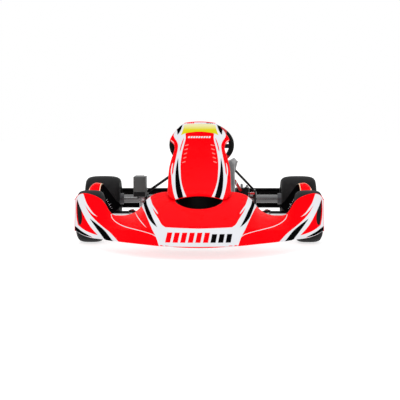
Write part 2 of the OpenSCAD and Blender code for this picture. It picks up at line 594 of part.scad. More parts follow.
module rear_hubs() color("gray") both_sides() translate([rear_hub_in, rear_axle_y, rear_tyre_r]) along_x()
  difference() {
    union() {
      cylinder(r = 34, h = axle_length / 2 - rear_hub_in);
      translate([0, 0, axle_length / 2 - rear_hub_in - 8]) cylinder(r = 49, h = 8);
    }
    translate([0, 0, -1]) cylinder(r = axle_r, h = 80);
  }
rear_disc_at = axle_length / 2 - rear_tyre_x;
module rear_rims() color("dimgray") both_sides() translate([rear_tyre_x, rear_axle_y, rear_tyre_r]) along_x()
  rim(rear_rim_w, rear_disc_at, 30);
module rear_tyres() color("black") both_sides() translate([rear_tyre_x, rear_axle_y, rear_tyre_r]) along_x()
  tyre(rear_tyre_r, rear_tyre_w, rear_rim_w);

// ---- pedals ----
module pedal_arm(top) difference() {
  union() {
    translate([-18, 0, 0]) along_x() cylinder(r = 11, h = 36);
    bent_tube([[0, 0, 8], [0, 14, top * 0.45], [0, -26, top - 2]], 6, 90);
    rod([-24, -26, top], [24, -26, top], 8);
  }
  translate([-30, 0, 0]) along_x() cylinder(r = pedal_pin_r + run_gap, h = 60);
}
pedal_top = 158;
module throttle_pedal() color("silver") translate([-pedal_x, pedal_y, pedal_z]) pedal_arm(pedal_top);
module brake_pedal() color("silver") translate([pedal_x - 4, pedal_y, pedal_z]) {
  pedal_arm(pedal_top);
  translate([13, -6, 9]) cube([5, 12, rod_arm - 9]);
  translate([13, 0, rod_arm]) along_x() cylinder(r = 8, h = eye_t);
  translate([13, 0, rod_arm]) along_x() cylinder(r = bolt_r, h = 12);
}
module brake_rod() color("silver") translate([rod_x, 0, pedal_z + rod_arm]) difference() {
  union() {
    rod([0, pedal_y + 6, 0], [0, lever_y - 6, 0], 3.2);
    for (y = [pedal_y, lever_y]) translate([-2.5, y, 0]) along_x() cylinder(r = 8, h = eye_t);
  }
  translate([-10, pedal_y, 0]) along_x() cylinder(r = bolt_r + run_gap, h = 20);
  translate([-10, lever_y, 0]) along_x() cylinder(r = bolt_r + 0.3, h = 20);
}

frame_rail_left();
frame_rail_right();
frame_front_loop();
frame_cross_tubes();
kingpin_yokes();
bearing_hangers();
steering_support();
floor_tray();
front_bumper_lower();
front_bumper_upper();
nose_clamps();
nose_fairing();
front_panel();
panel_bracket();
side_pod_left();
side_pod_right();
side_bars();
rear_bumper();
rear_bumper_brackets();
seat_shell();
seat_stays();
seat_bolts();
fuel_tank();
fuel_cap();
kingpin_bolts();
caster_pills();
axle_bearings();
chain_guard();
brake_caliper();
caliper_bracket();
pad_inner();
pad_outer();
master_cylinder();
master_lever();
brake_hose();
steering_bearing();
steering_lower_joint();
steering_column();
steering_hub();
steering_spokes();
steering_grip();
stub_axle_left();
stub_axle_right();
tie_rod_left();
tie_rod_right();
front_hub_left();
front_hub_right();
front_rim_left();
front_rim_right();
front_tyre_left();
front_tyre_right();
rear_axle();
rear_hubs();
rear_rims();
rear_tyres();
brake_disc();
sprocket();
throttle_pedal();
brake_pedal();
brake_rod();
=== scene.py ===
# Looks of a racing kart rolling chassis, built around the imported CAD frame.
# Shapes are written in millimetres, as in the CAD model, and scaled to metres when a mesh is made.
import json
import math

import bmesh
import bpy
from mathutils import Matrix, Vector
from mathutils.bvhtree import BVHTree


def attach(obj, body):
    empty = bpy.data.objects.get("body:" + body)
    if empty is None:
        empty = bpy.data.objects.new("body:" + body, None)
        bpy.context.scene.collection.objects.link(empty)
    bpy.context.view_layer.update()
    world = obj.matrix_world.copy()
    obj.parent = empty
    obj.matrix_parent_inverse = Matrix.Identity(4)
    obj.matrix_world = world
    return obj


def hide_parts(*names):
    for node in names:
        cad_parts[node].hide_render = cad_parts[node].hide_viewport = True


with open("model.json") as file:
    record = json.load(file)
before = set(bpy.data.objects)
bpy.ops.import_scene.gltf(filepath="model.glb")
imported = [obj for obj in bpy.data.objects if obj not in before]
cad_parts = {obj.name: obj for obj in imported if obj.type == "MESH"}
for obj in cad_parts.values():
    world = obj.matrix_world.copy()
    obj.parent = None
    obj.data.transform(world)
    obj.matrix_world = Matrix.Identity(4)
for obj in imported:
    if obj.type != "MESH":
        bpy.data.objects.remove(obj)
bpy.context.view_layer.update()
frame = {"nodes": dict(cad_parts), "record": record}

MM = 0.001
FRONT_AXLE = -345
REAR_AXLE, REAR_AXLE_Z = 705, 139.5
SKIN = 4


def linked(name, data):
    """A new object with this data, in the scene."""
    obj = bpy.data.objects.new(name, data)
    bpy.context.scene.collection.objects.link(obj)
    return obj


# -------------------- materials
def node_material(name):
    material = bpy.data.materials.new(name)
    material.use_nodes = True
    tree = material.node_tree
    return material, tree, tree.nodes["Principled BSDF"]


def add(tree, kind, inputs=None, **settings):
    node = tree.nodes.new(kind)
    for key, value in settings.items():
        setattr(node, key, value)
    for key, value in (inputs or {}).items():
        if isinstance(value, bpy.types.NodeSocket):
            tree.links.new(value, node.inputs[key])
        else:
            node.inputs[key].default_value = value
    return node


def coordinates(tree, stretch=(1, 1, 1), move=(0, 0, 0)):
    place = add(tree, "ShaderNodeTexCoord")
    mapping = add(tree, "ShaderNodeMapping", {"Vector": place.outputs["Object"]})
    mapping.inputs["Scale"].default_value = stretch
    mapping.inputs["Location"].default_value = move
    return mapping.outputs["Vector"]


def noise(tree, vector, scale, detail=4, rough=0.55):
    made = add(tree, "ShaderNodeTexNoise", {"Vector": vector, "Scale": scale, "Detail": detail,
                                            "Roughness": rough})
    return made.outputs["Fac"]


def ramp(tree, value, low, high, first, second):
    made = add(tree, "ShaderNodeMapRange", {"Value": value, "From Min": low, "From Max": high,
                                            "To Min": first, "To Max": second})
    return made.outputs["Result"]


def two_tone(tree, value, dark, light, low=0.35, high=0.65):
    made = add(tree, "ShaderNodeValToRGB", {"Fac": value})
    stops = made.color_ramp.elements
    stops[0].position, stops[0].color = low, (*dark, 1)
    stops[1].position, stops[1].color = high, (*light, 1)
    return made.outputs["Color"]


def bump(tree, shader, height, strength, distance):
    made = add(tree, "ShaderNodeBump", {"Height": height, "Strength": strength, "Distance": distance})
    tree.links.new(made.outputs["Normal"], shader.inputs["Normal"])


def surface(name, dark, light, rough, grain, depth, metal=0.0, coat=0.0, patches=9.0, stretch=(1, 1, 1),
            specular=0.5):
    """A material of two close tones in soft patches, uneven gloss and a fine grain.

    rough is the lowest and highest roughness, grain the scale of the fine bump and depth its height in
    metres.
    """
    material, tree, shader = node_material(name)
    where = coordinates(tree, stretch)
    broad = noise(tree, where, patches)
    fine = noise(tree, where, grain, 6, 0.6)
    tree.links.new(two_tone(tree, broad, dark, light), shader.inputs["Base Color"])
    tree.links.new(ramp(tree, broad, 0.3, 0.7, rough[0], rough[1]), shader.inputs["Roughness"])
    bump(tree, shader, fine, 0.5, depth)
    shader.inputs["Metallic"].default_value = metal
    shader.inputs["Coat Weight"].default_value = coat
    shader.inputs["Coat Roughness"].default_value = 0.08
    shader.inputs["Specular IOR Level"].default_value = specular
    return material


def machined(name, dark, light, rough, rings, centre):
    """Turned metal with fine rings about an axis along X through centre (y, z in metres)."""
    material, tree, shader = node_material(name)
    flat = coordinates(tree, (0, 1, 1), (0, -centre[0], -centre[1]))
    wave = add(tree, "ShaderNodeTexWave", {"Vector": flat, "Scale": rings, "Distortion": 0.6, "Detail": 2},
               wave_type="RINGS", rings_direction="SPHERICAL")
    broad = noise(tree, coordinates(tree), 14)
    tree.links.new(two_tone(tree, wave.outputs["Fac"], dark, light, 0.1, 0.9), shader.inputs["Base Color"])
    tree.links.new(ramp(tree, broad, 0.3, 0.7, rough[0], rough[1]), shader.inputs["Roughness"])
    bump(tree, shader, wave.outputs["Fac"], 0.3, 0.0001)
    shader.inputs["Metallic"].default_value = 1.0
    return material


def gloss_plastic(name, dark, light, specular=0.008):
    return surface(name, dark, light, (0.24, 0.34), 260, 0.00005, patches=5, specular=specular)


RED = gloss_plastic("red plastic", (0.84, 0.0005, 0.003), (0.92, 0.001, 0.005))
VINYL_WHITE = gloss_plastic("white vinyl", (0.65, 0.66, 0.69), (0.70, 0.71, 0.74))
VINYL_BLACK = gloss_plastic("black vinyl", (0.001, 0.001, 0.0012), (0.003, 0.003, 0.0032), specular=0.0)
# Pale red painted highlight, standing in for the light along the raised red louvre fins
LOUVRE_HIGHLIGHT_RED = gloss_plastic("pale red painted highlight", (0.80, 0.16, 0.15), (0.88, 0.22, 0.20))
# Cream painted highlight for the shoulders and crest of the side pods' humps
POD_HIGHLIGHT_CREAM = gloss_plastic("cream painted highlight", (0.78, 0.62, 0.40), (0.84, 0.72, 0.52))
BLACK_PLASTIC = surface("black plastic", (0.005, 0.005, 0.0055), (0.010, 0.010, 0.011), (0.38, 0.52), 900,
                        0.0001, specular=0.12)
GUARD_PLASTIC = surface("guard plastic", (0.072, 0.075, 0.074), (0.096, 0.099, 0.097), (0.40, 0.52), 700,
                        0.00012, specular=0.2)
TANK_PLASTIC = surface("tank plastic", (0.70, 0.70, 0.62), (0.80, 0.80, 0.74), (0.35, 0.5), 300, 0.0001)
FRAME_PAINT = surface("frame paint", (0.50, 0.006, 0.008), (0.60, 0.010, 0.012), (0.22, 0.32), 420, 0.00008,
                      coat=0.12, patches=12, specular=0.2)
BLACK_PAINT = surface("black paint", (0.004, 0.004, 0.0045), (0.008, 0.008, 0.009), (0.28, 0.4), 420,
                      0.00008, patches=12, specular=0.15)
STEEL = surface("zinc steel", (0.42, 0.42, 0.43), (0.60, 0.60, 0.61), (0.25, 0.42), 340, 0.00005, metal=1,
                patches=30)
AXLE_STEEL = surface("axle steel", (0.10, 0.10, 0.102), (0.18, 0.18, 0.182), (0.18, 0.28), 420, 0.00004,
                     metal=1, patches=18, stretch=(0.25, 1, 1))
ALUMINIUM = surface("aluminium", (0.58, 0.58, 0.59), (0.74, 0.74, 0.75), (0.28, 0.42), 500, 0.00004, metal=1,
                    patches=24)
TRAY_ALUMINIUM = surface("tray aluminium", (0.60, 0.60, 0.61), (0.72, 0.72, 0.73), (0.3, 0.45), 320, 0.00005,
                         metal=1, patches=16, stretch=(1, 0.08, 1))
ANODISED = surface("red anodising", (0.16, 0.006, 0.008), (0.26, 0.010, 0.012), (0.25, 0.36), 600, 0.00003,
                   metal=1, patches=30)
MAGNESIUM = surface("graphite magnesium", (0.036, 0.037, 0.041), (0.062, 0.063, 0.069), (0.32, 0.45), 700,
                    0.00006, metal=0.7, patches=20)
SEAT = surface("seat gel coat", (0.22, 0.225, 0.23), (0.30, 0.305, 0.31), (0.26, 0.4), 520, 0.00012,
               coat=0.3, patches=16)
SUEDE = surface("black suede", (0.002, 0.002, 0.002), (0.006, 0.006, 0.006), (0.7, 0.9), 1100, 0.0003,
                patches=40, specular=0.1)
SUEDE.node_tree.nodes["Principled BSDF"].inputs["Sheen Weight"].default_value = 0.03
SUEDE_RED = surface("red suede", (0.42, 0.006, 0.010), (0.60, 0.012, 0.018), (0.6, 0.8), 1100, 0.0003,
                    patches=40)
HOSE = surface("hose rubber", (0.008, 0.008, 0.008), (0.016, 0.016, 0.016), (0.4, 0.55), 900, 0.0002,
               patches=60)
LINING = surface("brake lining", (0.06, 0.05, 0.04), (0.16, 0.14, 0.12), (0.7, 0.9), 1600, 0.0003,
                 patches=200)
IRON = machined("ground iron", (0.07, 0.07, 0.072), (0.14, 0.14, 0.142), (0.3, 0.42), 260,
                (REAR_AXLE * MM, REAR_AXLE_Z * MM))


def tyre_material():
    """Slick rubber: dull, with soft patches of tone and gloss and a fine grain."""
    material, tree, shader = node_material("tyre rubber")
    where = coordinates(tree)
    broad = noise(tree, where, 26, 5, 0.6)
    fine = noise(tree, where, 900, 6, 0.65)
    rubber = two_tone(tree, broad, (0.006, 0.006, 0.0065), (0.014, 0.014, 0.0145))
    tree.links.new(rubber, shader.inputs["Base Color"])
    tree.links.new(ramp(tree, broad, 0.3, 0.7, 0.46, 0.66), shader.inputs["Roughness"])
    bump(tree, shader, fine, 0.5, 0.0003)
    shader.inputs["Specular IOR Level"].default_value = 0.08
    return material


def plate_material():
    """Yellow vinyl that fades to cream towards its top."""
    material, tree, shader = node_material("number plate vinyl")
    where = add(tree, "ShaderNodeSeparateXYZ", {"Vector": coordinates(tree)})
    fade = ramp(tree, where.outputs["Z"], 0.555, 0.592, 0, 1)
    cream = two_tone(tree, fade, (0.62, 0.54, 0.008), (0.70, 0.67, 0.36), 0.25, 0.85)
    tree.links.new(cream, shader.inputs["Base Color"])
    fine = noise(tree, coordinates(tree), 260)
    tree.links.new(ramp(tree, fine, 0.3, 0.7, 0.26, 0.36), shader.inputs["Roughness"])
    bump(tree, shader, fine, 0.5, 0.00005)
    shader.inputs["Specular IOR Level"].default_value = 0.02
    return material


TYRE = tyre_material()
PLATE_VINYL = plate_material()

NODE_MATERIALS = {
    FRAME_PAINT: ["steering_support", "frame_cross_tubes", "frame_rail_left", "frame_rail_right",
                  "frame_front_loop", "caliper_bracket"],
    TRAY_ALUMINIUM: ["floor_tray"],
    BLACK_PAINT: ["kingpin_yokes", "bearing_hangers", "front_bumper_lower", "front_bumper_upper",
                  "panel_bracket", "side_bars", "rear_bumper_brackets", "seat_stays", "brake_caliper",
                  "master_cylinder", "steering_spokes"],
    BLACK_PLASTIC: ["nose_clamps", "fuel_cap", "steering_bearing", "rear_bumper"],
    RED: ["nose_fairing", "front_panel", "side_pod_left", "side_pod_right"],
    SEAT: ["seat_shell"],
    STEEL: ["seat_bolts", "kingpin_bolts", "steering_lower_joint", "steering_column",
            "stub_axle_left", "stub_axle_right", "brake_rod"],
    AXLE_STEEL: ["rear_axle", "axle_bearings"],
    TANK_PLASTIC: ["fuel_tank"],
    ANODISED: ["caster_pills"],
    GUARD_PLASTIC: ["chain_guard"],
    LINING: ["pad_inner", "pad_outer"],
    HOSE: ["brake_hose"],
    ALUMINIUM: ["master_lever", "steering_hub", "tie_rod_left", "tie_rod_right", "front_hub_left",
                "front_hub_right", "sprocket", "throttle_pedal", "brake_pedal"],
    SUEDE: ["steering_grip"],
    MAGNESIUM: ["front_rim_left", "front_rim_right", "rear_rims", "rear_hubs"],
    TYRE: ["front_tyre_left", "front_tyre_right", "rear_tyres"],
    IRON: ["brake_disc"],
}
for node_look, names in NODE_MATERIALS.items():
    for node_name in names:
        mesh = frame["nodes"][node_name].data
        mesh.materials.clear()
        mesh.materials.append(node_look)


# -------------------- camera, light and floor
def make_camera():
    # The kart seen from straight ahead, 4.8 m before the front axle and 0.58 m above the floor
    data = bpy.data.cameras.new("camera")
    data.lens = 85.65
    data.sensor_width = 36
    camera = linked("camera", data)
    camera.location = (0.0336, FRONT_AXLE * MM - 4.7666, 0.5806)
    down, left = 0.0771, 0.0066
    look = Vector((-math.sin(left) * math.cos(down), math.cos(left) * math.cos(down), -math.sin(down)))
    camera.rotation_euler = look.to_track_quat("-Z", "Y").to_euler()
    bpy.context.scene.camera = camera


def area_light(name, place, target, size, power):
    data = bpy.data.lights.new(name, "AREA")
    data.shape = "RECTANGLE"
    data.size, data.size_y = size
    data.energy = power
    light = linked(name, data)
    light.location = place
    light.rotation_euler = (Vector(target) - Vector(place)).to_track_quat("-Z", "Y").to_euler()


def make_stage():
    bpy.context.scene.view_settings.view_transform = "Standard"
    world = bpy.data.worlds.new("studio")
    bpy.context.scene.world = world
    world.use_nodes = True
    sky = world.node_tree.nodes["Background"].inputs
    sky["Color"].default_value = (1, 1, 1, 1)
    sky["Strength"].default_value = 1.0
    area_light("key", (-1.6, -3.2, 3.4), (0, 0, 0.2), (2.4, 1.6), 26)
    area_light("fill", (2.6, -2.4, 2.0), (0, 0, 0.2), (2.0, 2.0), 10)
    area_light("top", (0, 0.6, 3.6), (0, 0.2, 0.2), (3.0, 3.0), 16)
    data = bpy.data.meshes.new("floor")
    half = 30
    corners = [(-half, -half, 0), (half, -half, 0), (half, half, 0), (-half, half, 0)]
    data.from_pydata(corners, [], [(0, 1, 2, 3)])
    floor = linked("floor", data)
    floor.location.z = -0.0005
    look = surface("floor", (0.44, 0.44, 0.44), (0.46, 0.46, 0.46), (0.7, 0.8), 40, 0.0001,
                   specular=0.1)
    glow = look.node_tree.nodes["Principled BSDF"].inputs
    glow["Emission Color"].default_value = (1, 1, 1, 1)
    glow["Emission Strength"].default_value = 0.72
    floor.data.materials.append(look)


make_camera()
make_stage()


# -------------------- mesh helpers
def curve(table, x):
    """Value at x of a smooth curve through the rows (x, value) of a table."""
    i = 0
    while i < len(table) - 2 and x > table[i + 1][0]:
        i += 1
    (x0, a), (x1, b) = table[i], table[i + 1]

    def slope(k):
        if k <= 0 or k >= len(table) - 1:
            return 0
        return (table[k + 1][1] - table[k - 1][1]) / (table[k + 1][0] - table[k - 1][0])
    d = x1 - x0
    t = min(1, max(0, (x - x0) / d))
    rise = slope(i) * d * t * (1 - t) ** 2 + slope(i + 1) * d * t * t * (t - 1)
    return a * (1 + 2 * t) * (1 - t) ** 2 + b * t * t * (3 - 2 * t) + rise


def mix(a, b, t):
    return a + (b - a) * t


def smooth_path(points, per_span, closed=False):
    """Catmull-Rom curve through points of any dimension."""
    n = len(points)
    spans = n if closed else n - 1
    out = []
    for i in range(spans):
        if closed:
            a, b, c, d = (points[(i + k) % n] for k in (-1, 0, 1, 2))
        else:
            a, b, c, d = (points[min(n - 1, max(0, i + k))] for k in (-1, 0, 1, 2))
        for step in range(per_span):
            t = step / per_span
            out.append(tuple(0.5 * (2 * q + (r - p) * t + (2 * p - 5 * q + 4 * r - s) * t * t
                                    + (3 * q - p - 3 * r + s) * t ** 3) for p, q, r, s in zip(a, b, c, d)))
    if not closed:
        out.append(tuple(points[-1]))
    return out


def new_object(name, verts, faces, material, smooth=True):
    """A mesh object from points in millimetres."""
    data = bpy.data.meshes.new(name)
    data.from_pydata([(x * MM, y * MM, z * MM) for x, y, z in verts], [], faces)
    data.materials.append(material)
    obj = linked(name, data)
    if smooth:
        data.polygons.foreach_set("use_smooth", [True] * len(data.polygons))
    return obj


def grid(rows, closed_rows=False, closed_cols=False):
    """Faces of a grid of points given as rows; returns (verts, faces)."""
    nr, nc = len(rows), len(rows[0])
    verts = [p for row in rows for p in row]
    faces = []
    for i in range(nr if closed_rows else nr - 1):
        for j in range(nc if closed_cols else nc - 1):
            k, m = (i + 1) % nr, (j + 1) % nc
            faces.append((i * nc + j, i * nc + m, k * nc + m, k * nc + j))
    return verts, faces


def fix_normals(obj):
    mesh = bmesh.new()
    mesh.from_mesh(obj.data)
    bmesh.ops.remove_doubles(mesh, verts=mesh.verts, dist=1e-6)
    bmesh.ops.recalc_face_normals(mesh, faces=mesh.faces)
    mesh.to_mesh(obj.data)
    mesh.free()


def skin(name, rows, material, **closed):
    """A mesh over a grid of points given as rows, in millimetres."""
    obj = new_object(name, *grid(rows, **closed), material)
    fix_normals(obj)
    return obj


def turn_out(obj, way):
    """Flips the faces of a skin if, taken together, they face away from way."""
    if sum(p.normal.dot(Vector(way)) * p.area for p in obj.data.polygons) < 0:
        obj.data.flip_normals()


def apply_modifiers(obj):
    graph = bpy.context.evaluated_depsgraph_get()
    data = bpy.data.meshes.new_from_object(obj.evaluated_get(graph))
    obj.modifiers.clear()
    old = obj.data
    obj.data = data
    bpy.data.meshes.remove(old)


def solidify(obj, thickness):
    """Gives a skin its thickness, on the side away from its normals."""
    made = obj.modifiers.new("thickness", "SOLIDIFY")
    made.thickness = thickness * MM
    made.offset = -1
    apply_modifiers(obj)


def bevel(obj, width):
    made = obj.modifiers.new("edges", "BEVEL")
    made.width = width * MM
    made.segments = 2
    made.limit_method = "ANGLE"
    made.angle_limit = math.radians(35)
    made.harden_normals = False


def shade_by_angle(obj, angle):
    mesh = obj.data
    mesh.polygons.foreach_set("use_smooth", [True] * len(mesh.polygons))
    mesh.set_sharp_from_angle(angle=math.radians(angle))


def cut(obj, cutter):
    """Takes cutter's solid out of obj."""
    made = obj.modifiers.new("cut", "BOOLEAN")
    made.operation = "DIFFERENCE"
    made.solver = "EXACT"
    made.object = cutter
    apply_modifiers(obj)
    bpy.data.objects.remove(cutter)


def place(obj, body, slot_name, *nodes):
    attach(obj, body)
    if nodes:
        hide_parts(*nodes)
    return obj


def prism(name, outline, low, high, axis, material):
    """A closed prism of a flat outline of (a, b) points, drawn out along axis 'x', 'y' or 'z'."""
    def point(a, b, c):
        return {"x": (c, a, b), "y": (a, c, b), "z": (a, b, c)}[axis]
    n = len(outline)
    verts = [point(a, b, low) for a, b in outline] + [point(a, b, high) for a, b in outline]
    faces = [tuple(range(n)), tuple(reversed(range(n, 2 * n)))]
    faces += [(i, (i + 1) % n, n + (i + 1) % n, n + i) for i in range(n)]
    obj = new_object(name, verts, faces, material, smooth=False)
    fix_normals(obj)
    return obj


def lathe(name, profile, centre, material, steps, axis="x"):
    """A solid of revolution about an axis through centre; profile is (radius, distance along the axis)."""
    rows = []
    for i in range(steps):
        a = math.tau * i / steps
        row = []
        for r, d in profile:
            u, v = r * math.cos(a), r * math.sin(a)
            if axis == "x":
                row.append((centre[0] + d, centre[1] + u, centre[2] + v))
            else:
                row.append((centre[0] + u, centre[1] + v, centre[2] + d))
        rows.append(row)
    obj = skin(name, rows, material, closed_rows=True, closed_cols=True)
    shade_by_angle(obj, 40)
    return obj


def tube(name, path, radius, material, sides=28):
    """A round tube with closed ends along a path of points."""
    rows = []
    up = Vector((0.02, 0.05, 1))
    points = [Vector(p) for p in path]
    for i, p in enumerate(points):
        heading = (points[min(len(points) - 1, i + 1)] - points[max(0, i - 1)]).normalized()
        across = heading.cross(up).normalized()
        other = heading.cross(across)
        turns = [math.tau * k / sides for k in range(sides)]
        rows.append([tuple(p + radius * (math.cos(a) * across + math.sin(a) * other)) for a in turns])
    verts, faces = grid(rows, closed_cols=True)
    last = len(points) - 1
    faces += [tuple(range(sides)), tuple(last * sides + k for k in reversed(range(sides)))]
    obj = new_object(name, verts, faces, material)
    fix_normals(obj)
    shade_by_angle(obj, 50)
    return obj


def join(name, parts):
    """Joins separate mesh objects into one; materials are kept."""
    merged = bmesh.new()
    materials = []
    for part in parts:
        start = len(merged.faces)
        merged.from_mesh(part.data)
        merged.faces.ensure_lookup_table()
        for face in merged.faces[start:]:
            look = part.data.materials[face.material_index]
            if look not in materials:
                materials.append(look)
            face.material_index = materials.index(look)
    data = bpy.data.meshes.new(name)
    merged.to_mesh(data)
    merged.free()
    for look in materials:
        data.materials.append(look)
    for part in parts:
        bpy.data.objects.remove(part)
    return linked(name, data)


# -------------------- nose
# Tables over the distance from the middle; places along Y are measured back from the front axle
LIP_Y = [(0, -660), (170, -640), (290, -560), (390, -460), (455, -380), (550, -300), (595, -250)]
LIP_Z = [(0, 52), (170, 58), (280, 60), (455, 58), (510, 60), (560, 71), (595, 82)]
BELT_Z = [(0, 137), (170, 132), (290, 118), (390, 110), (455, 116), (550, 140), (595, 150)]
BELT_BACK = [(0, 60), (170, 56), (290, 34), (390, 20), (595, 8)]
TOP_Y = [(0, -227), (147, -227), (213, -232), (270, -262), (335, -300), (410, -300), (459, -275),
         (510, -245), (595, -232)]
TOP_Z = [(0, 271), (147, 271), (213, 259), (250, 235), (276, 202), (298, 182), (320, 171), (345, 165),
         (372, 164), (405, 167), (424, 185), (441, 212), (460, 234), (480, 246), (510, 257), (545, 264),
         (570, 260), (583, 250), (595, 232)]
NOSE_HALF = 595
DUCT_Y, DUCT_R = FRONT_AXLE - 323, 110
# The vent beside the wheel, (x, z) on the driver's left
VENT = [(583, 233), (567, 204), (557, 172), (554, 140), (562, 117), (573, 118), (580, 147), (584, 190)]


def nose_section(x):
    a = abs(x)
    y0, z0 = curve(LIP_Y, a), curve(LIP_Z, a)
    y1, z1 = y0 + curve(BELT_BACK, a), curve(BELT_Z, a)
    y2, z2 = curve(TOP_Y, a), curve(TOP_Z, a)
    keys = [(y0 + 16, z0), (y0 + 4, z0 + 1), (y0, z0 + 8), (mix(y0 - 3, y1, 0.35), mix(z0, z1, 0.5)),
            (mix(y0, y1, 0.86), mix(z0, z1, 0.9))]
    keys += [(mix(y1, y2, t), mix(z1, z2, t) + 7 * math.sin(math.pi * t))
             for t in (0.03, 0.2, 0.4, 0.6, 0.8, 0.95)]
    keys += [(y2 - 1, z2 - 1), (y2 + 5, z2 - 1.5), (y2 + 9, z2 - 7), (y2 + 10, z2 - 16)]
    return [(x, FRONT_AXLE + y, z) for y, z in smooth_path(keys, 4)]


def tree_of(rows):
    """The surface over a grid of points, in millimetres, for casting rays at."""
    verts, faces = grid(rows)
    return BVHTree.FromPolygons([Vector(v) for v in verts], faces)


def make_nose():
    steps = 240
    rows = [nose_section(mix(-NOSE_HALF, NOSE_HALF, i / steps)) for i in range(steps + 1)]
    nose = skin("nose", rows, RED)
    turn_out(nose, (0, -1, 0))
    solidify(nose, SKIN)
    duct = [(DUCT_R * math.cos(math.tau * i / 72), DUCT_Y + DUCT_R * math.sin(math.tau * i / 72))
            for i in range(72)]
    cut(nose, prism("duct cutter", duct, 150, 320, "z", RED))
    for side in (-1, 1):
        vent = [(side * a, b) for a, b in smooth_path(VENT, 5, closed=True)]
        cut(nose, prism("vent cutter", vent, FRONT_AXLE - 330, FRONT_AXLE - 180, "y", RED))
    shade_by_angle(nose, 40)
    place(nose, "chassis", "red_bodywork", "nose_fairing")
    return tree_of(rows)


def make_duct():
    """The dark scoop below the front panel."""
    profile = [(DUCT_R - 1, 252), (DUCT_R - 1, 205), (104, 178), (88, 160), (50, 150), (0.5, 147),
               (0.5, 143), (52, 146), (91, 157), (108, 176), (DUCT_R + 3, 205), (DUCT_R + 3, 252)]
    scoop = lathe("nose_scoop", profile, (0, DUCT_Y, 0), BLACK_PLASTIC, 72, axis="z")
    for v in scoop.data.vertices:
        # The rim follows the slope of the nose; the floor stays level
        ahead = v.co.y / MM - DUCT_Y
        rise = min(1, max(0, (v.co.z / MM - 147) / 90))
        v.co.z += (ahead * 0.38 - 8) * rise * MM
    return place(scoop, "chassis", "black_plastic")


NOSE_TREE = make_nose()
make_duct()


# -------------------- stickers
def outline_grid(outline, cell):
    """A flat bmesh of an outline, cut into small cells so that it can follow a curved surface."""
    made = bmesh.new()
    made.faces.new([made.verts.new((a, b, 0)) for a, b in outline])
    for face in made.faces:
        face.normal_update()
    bmesh.ops.triangulate(made, faces=made.faces)
    bmesh.ops.recalc_face_normals(made, faces=made.faces)
    for axis in (0, 1):
        values = [v.co[axis] for v in made.verts]
        normal = Vector((1, 0, 0)) if axis == 0 else Vector((0, 1, 0))
        at = math.ceil(min(values) / cell) * cell
        while at < max(values):
            bmesh.ops.bisect_plane(made, geom=made.verts[:] + made.edges[:] + made.faces[:],
                                   plane_co=normal * at, plane_no=normal, dist=0.01)
            at += cell
    bmesh.ops.remove_doubles(made, verts=made.verts, dist=0.02)
    return made


def from_front(a, b):
    return Vector((a, -2000, b)), Vector((0, 1, 0))


def unmoved(a, b):
    return a, b


def laid_piece(outline, tree, look, trim, lift, thick, cell, seen):
    """One thin piece of vinyl of a flat outline, laid on a surface."""
    made = outline_grid(outline, cell)
    lost = []
    facing = None
    for v in made.verts:
        start, facing = seen(*trim(v.co.x, v.co.y))
        hit, normal = tree.ray_cast(start, facing)[:2]
        if hit is None:
            lost.append(v)
            continue
        if normal.dot(facing) > 0:
            normal = -normal
        v.co = hit + normal * lift
    bmesh.ops.delete(made, geom=lost, context="VERTS")
    bmesh.ops.dissolve_degenerate(made, dist=0.01, edges=made.edges)
    bmesh.ops.recalc_face_normals(made, faces=made.faces)
    bmesh.ops.scale(made, vec=(MM, MM, MM), verts=made.verts)
    data = bpy.data.meshes.new("sticker")
    made.to_mesh(data)
    made.free()
    data.materials.append(look)
    obj = linked("sticker", data)
    turn_out(obj, -facing)
    solidify(obj, thick)
    return obj


def laid(name, outlines, tree, look, trim=unmoved, mirror=True, lift=0.5, thick=0.9, cell=9,
         seen=from_front):
    """Thin vinyl laid on a surface, one closed piece for each outline.

    Outlines are flat (a, b) points. seen turns a and b into a start point and a direction in millimetres,
    and trim moves a point that lies just off the surface back onto it.
    """
    shapes = [list(o) for o in outlines]
    if mirror:
        shapes += [[(-a, b) for a, b in reversed(o)] for o in outlines]
    obj = join(name, [laid_piece(o, tree, look, trim, lift, thick, cell, seen) for o in shapes])
    shade_by_angle(obj, 50)
    return place(obj, "chassis", "red_bodywork")


def stroke(points, width, ends=1.0):
    """Outline of a smooth line along points; ends is the width left at its ends, from 0 to 1."""
    path = smooth_path(points, 4)
    n = len(path) - 1
    left, right = [], []
    for i, (a, b) in enumerate(path):
        p, q = path[max(0, i - 1)], path[min(n, i + 1)]
        da, db = q[0] - p[0], q[1] - p[1]
        size = math.hypot(da, db)
        half = width / 2 * mix(ends, 1, math.sin(math.pi * i / n) ** 0.6)
        left.append((a - db / size * half, b + da / size * half))
        right.append((a + db / size * half, b - da / size * half))
    return left + right[::-1]


def shape(*edges):
    """Closed outline from smooth edges joined at their ends."""
    out = []
    for edge in edges:
        line = smooth_path(edge, 5) if len(edge) > 2 else [tuple(p) for p in edge]
        out += line if not out or out[-1] != line[0] else line[1:]
    if out[0] == out[-1]:
        out.pop()
    return out


def slanted(a, b, width, height, lean=0.22):
    """A slanted bar, which stands in for a letter."""
    return [(a, b), (a + width, b), (a + width + lean * height, b + height), (a + lean * height, b + height)]


def on_nose(a, b):
    low, high = curve(LIP_Z, abs(a)) + 1, curve(TOP_Z, abs(a)) - 2.5
    return a, min(high, max(low, b))


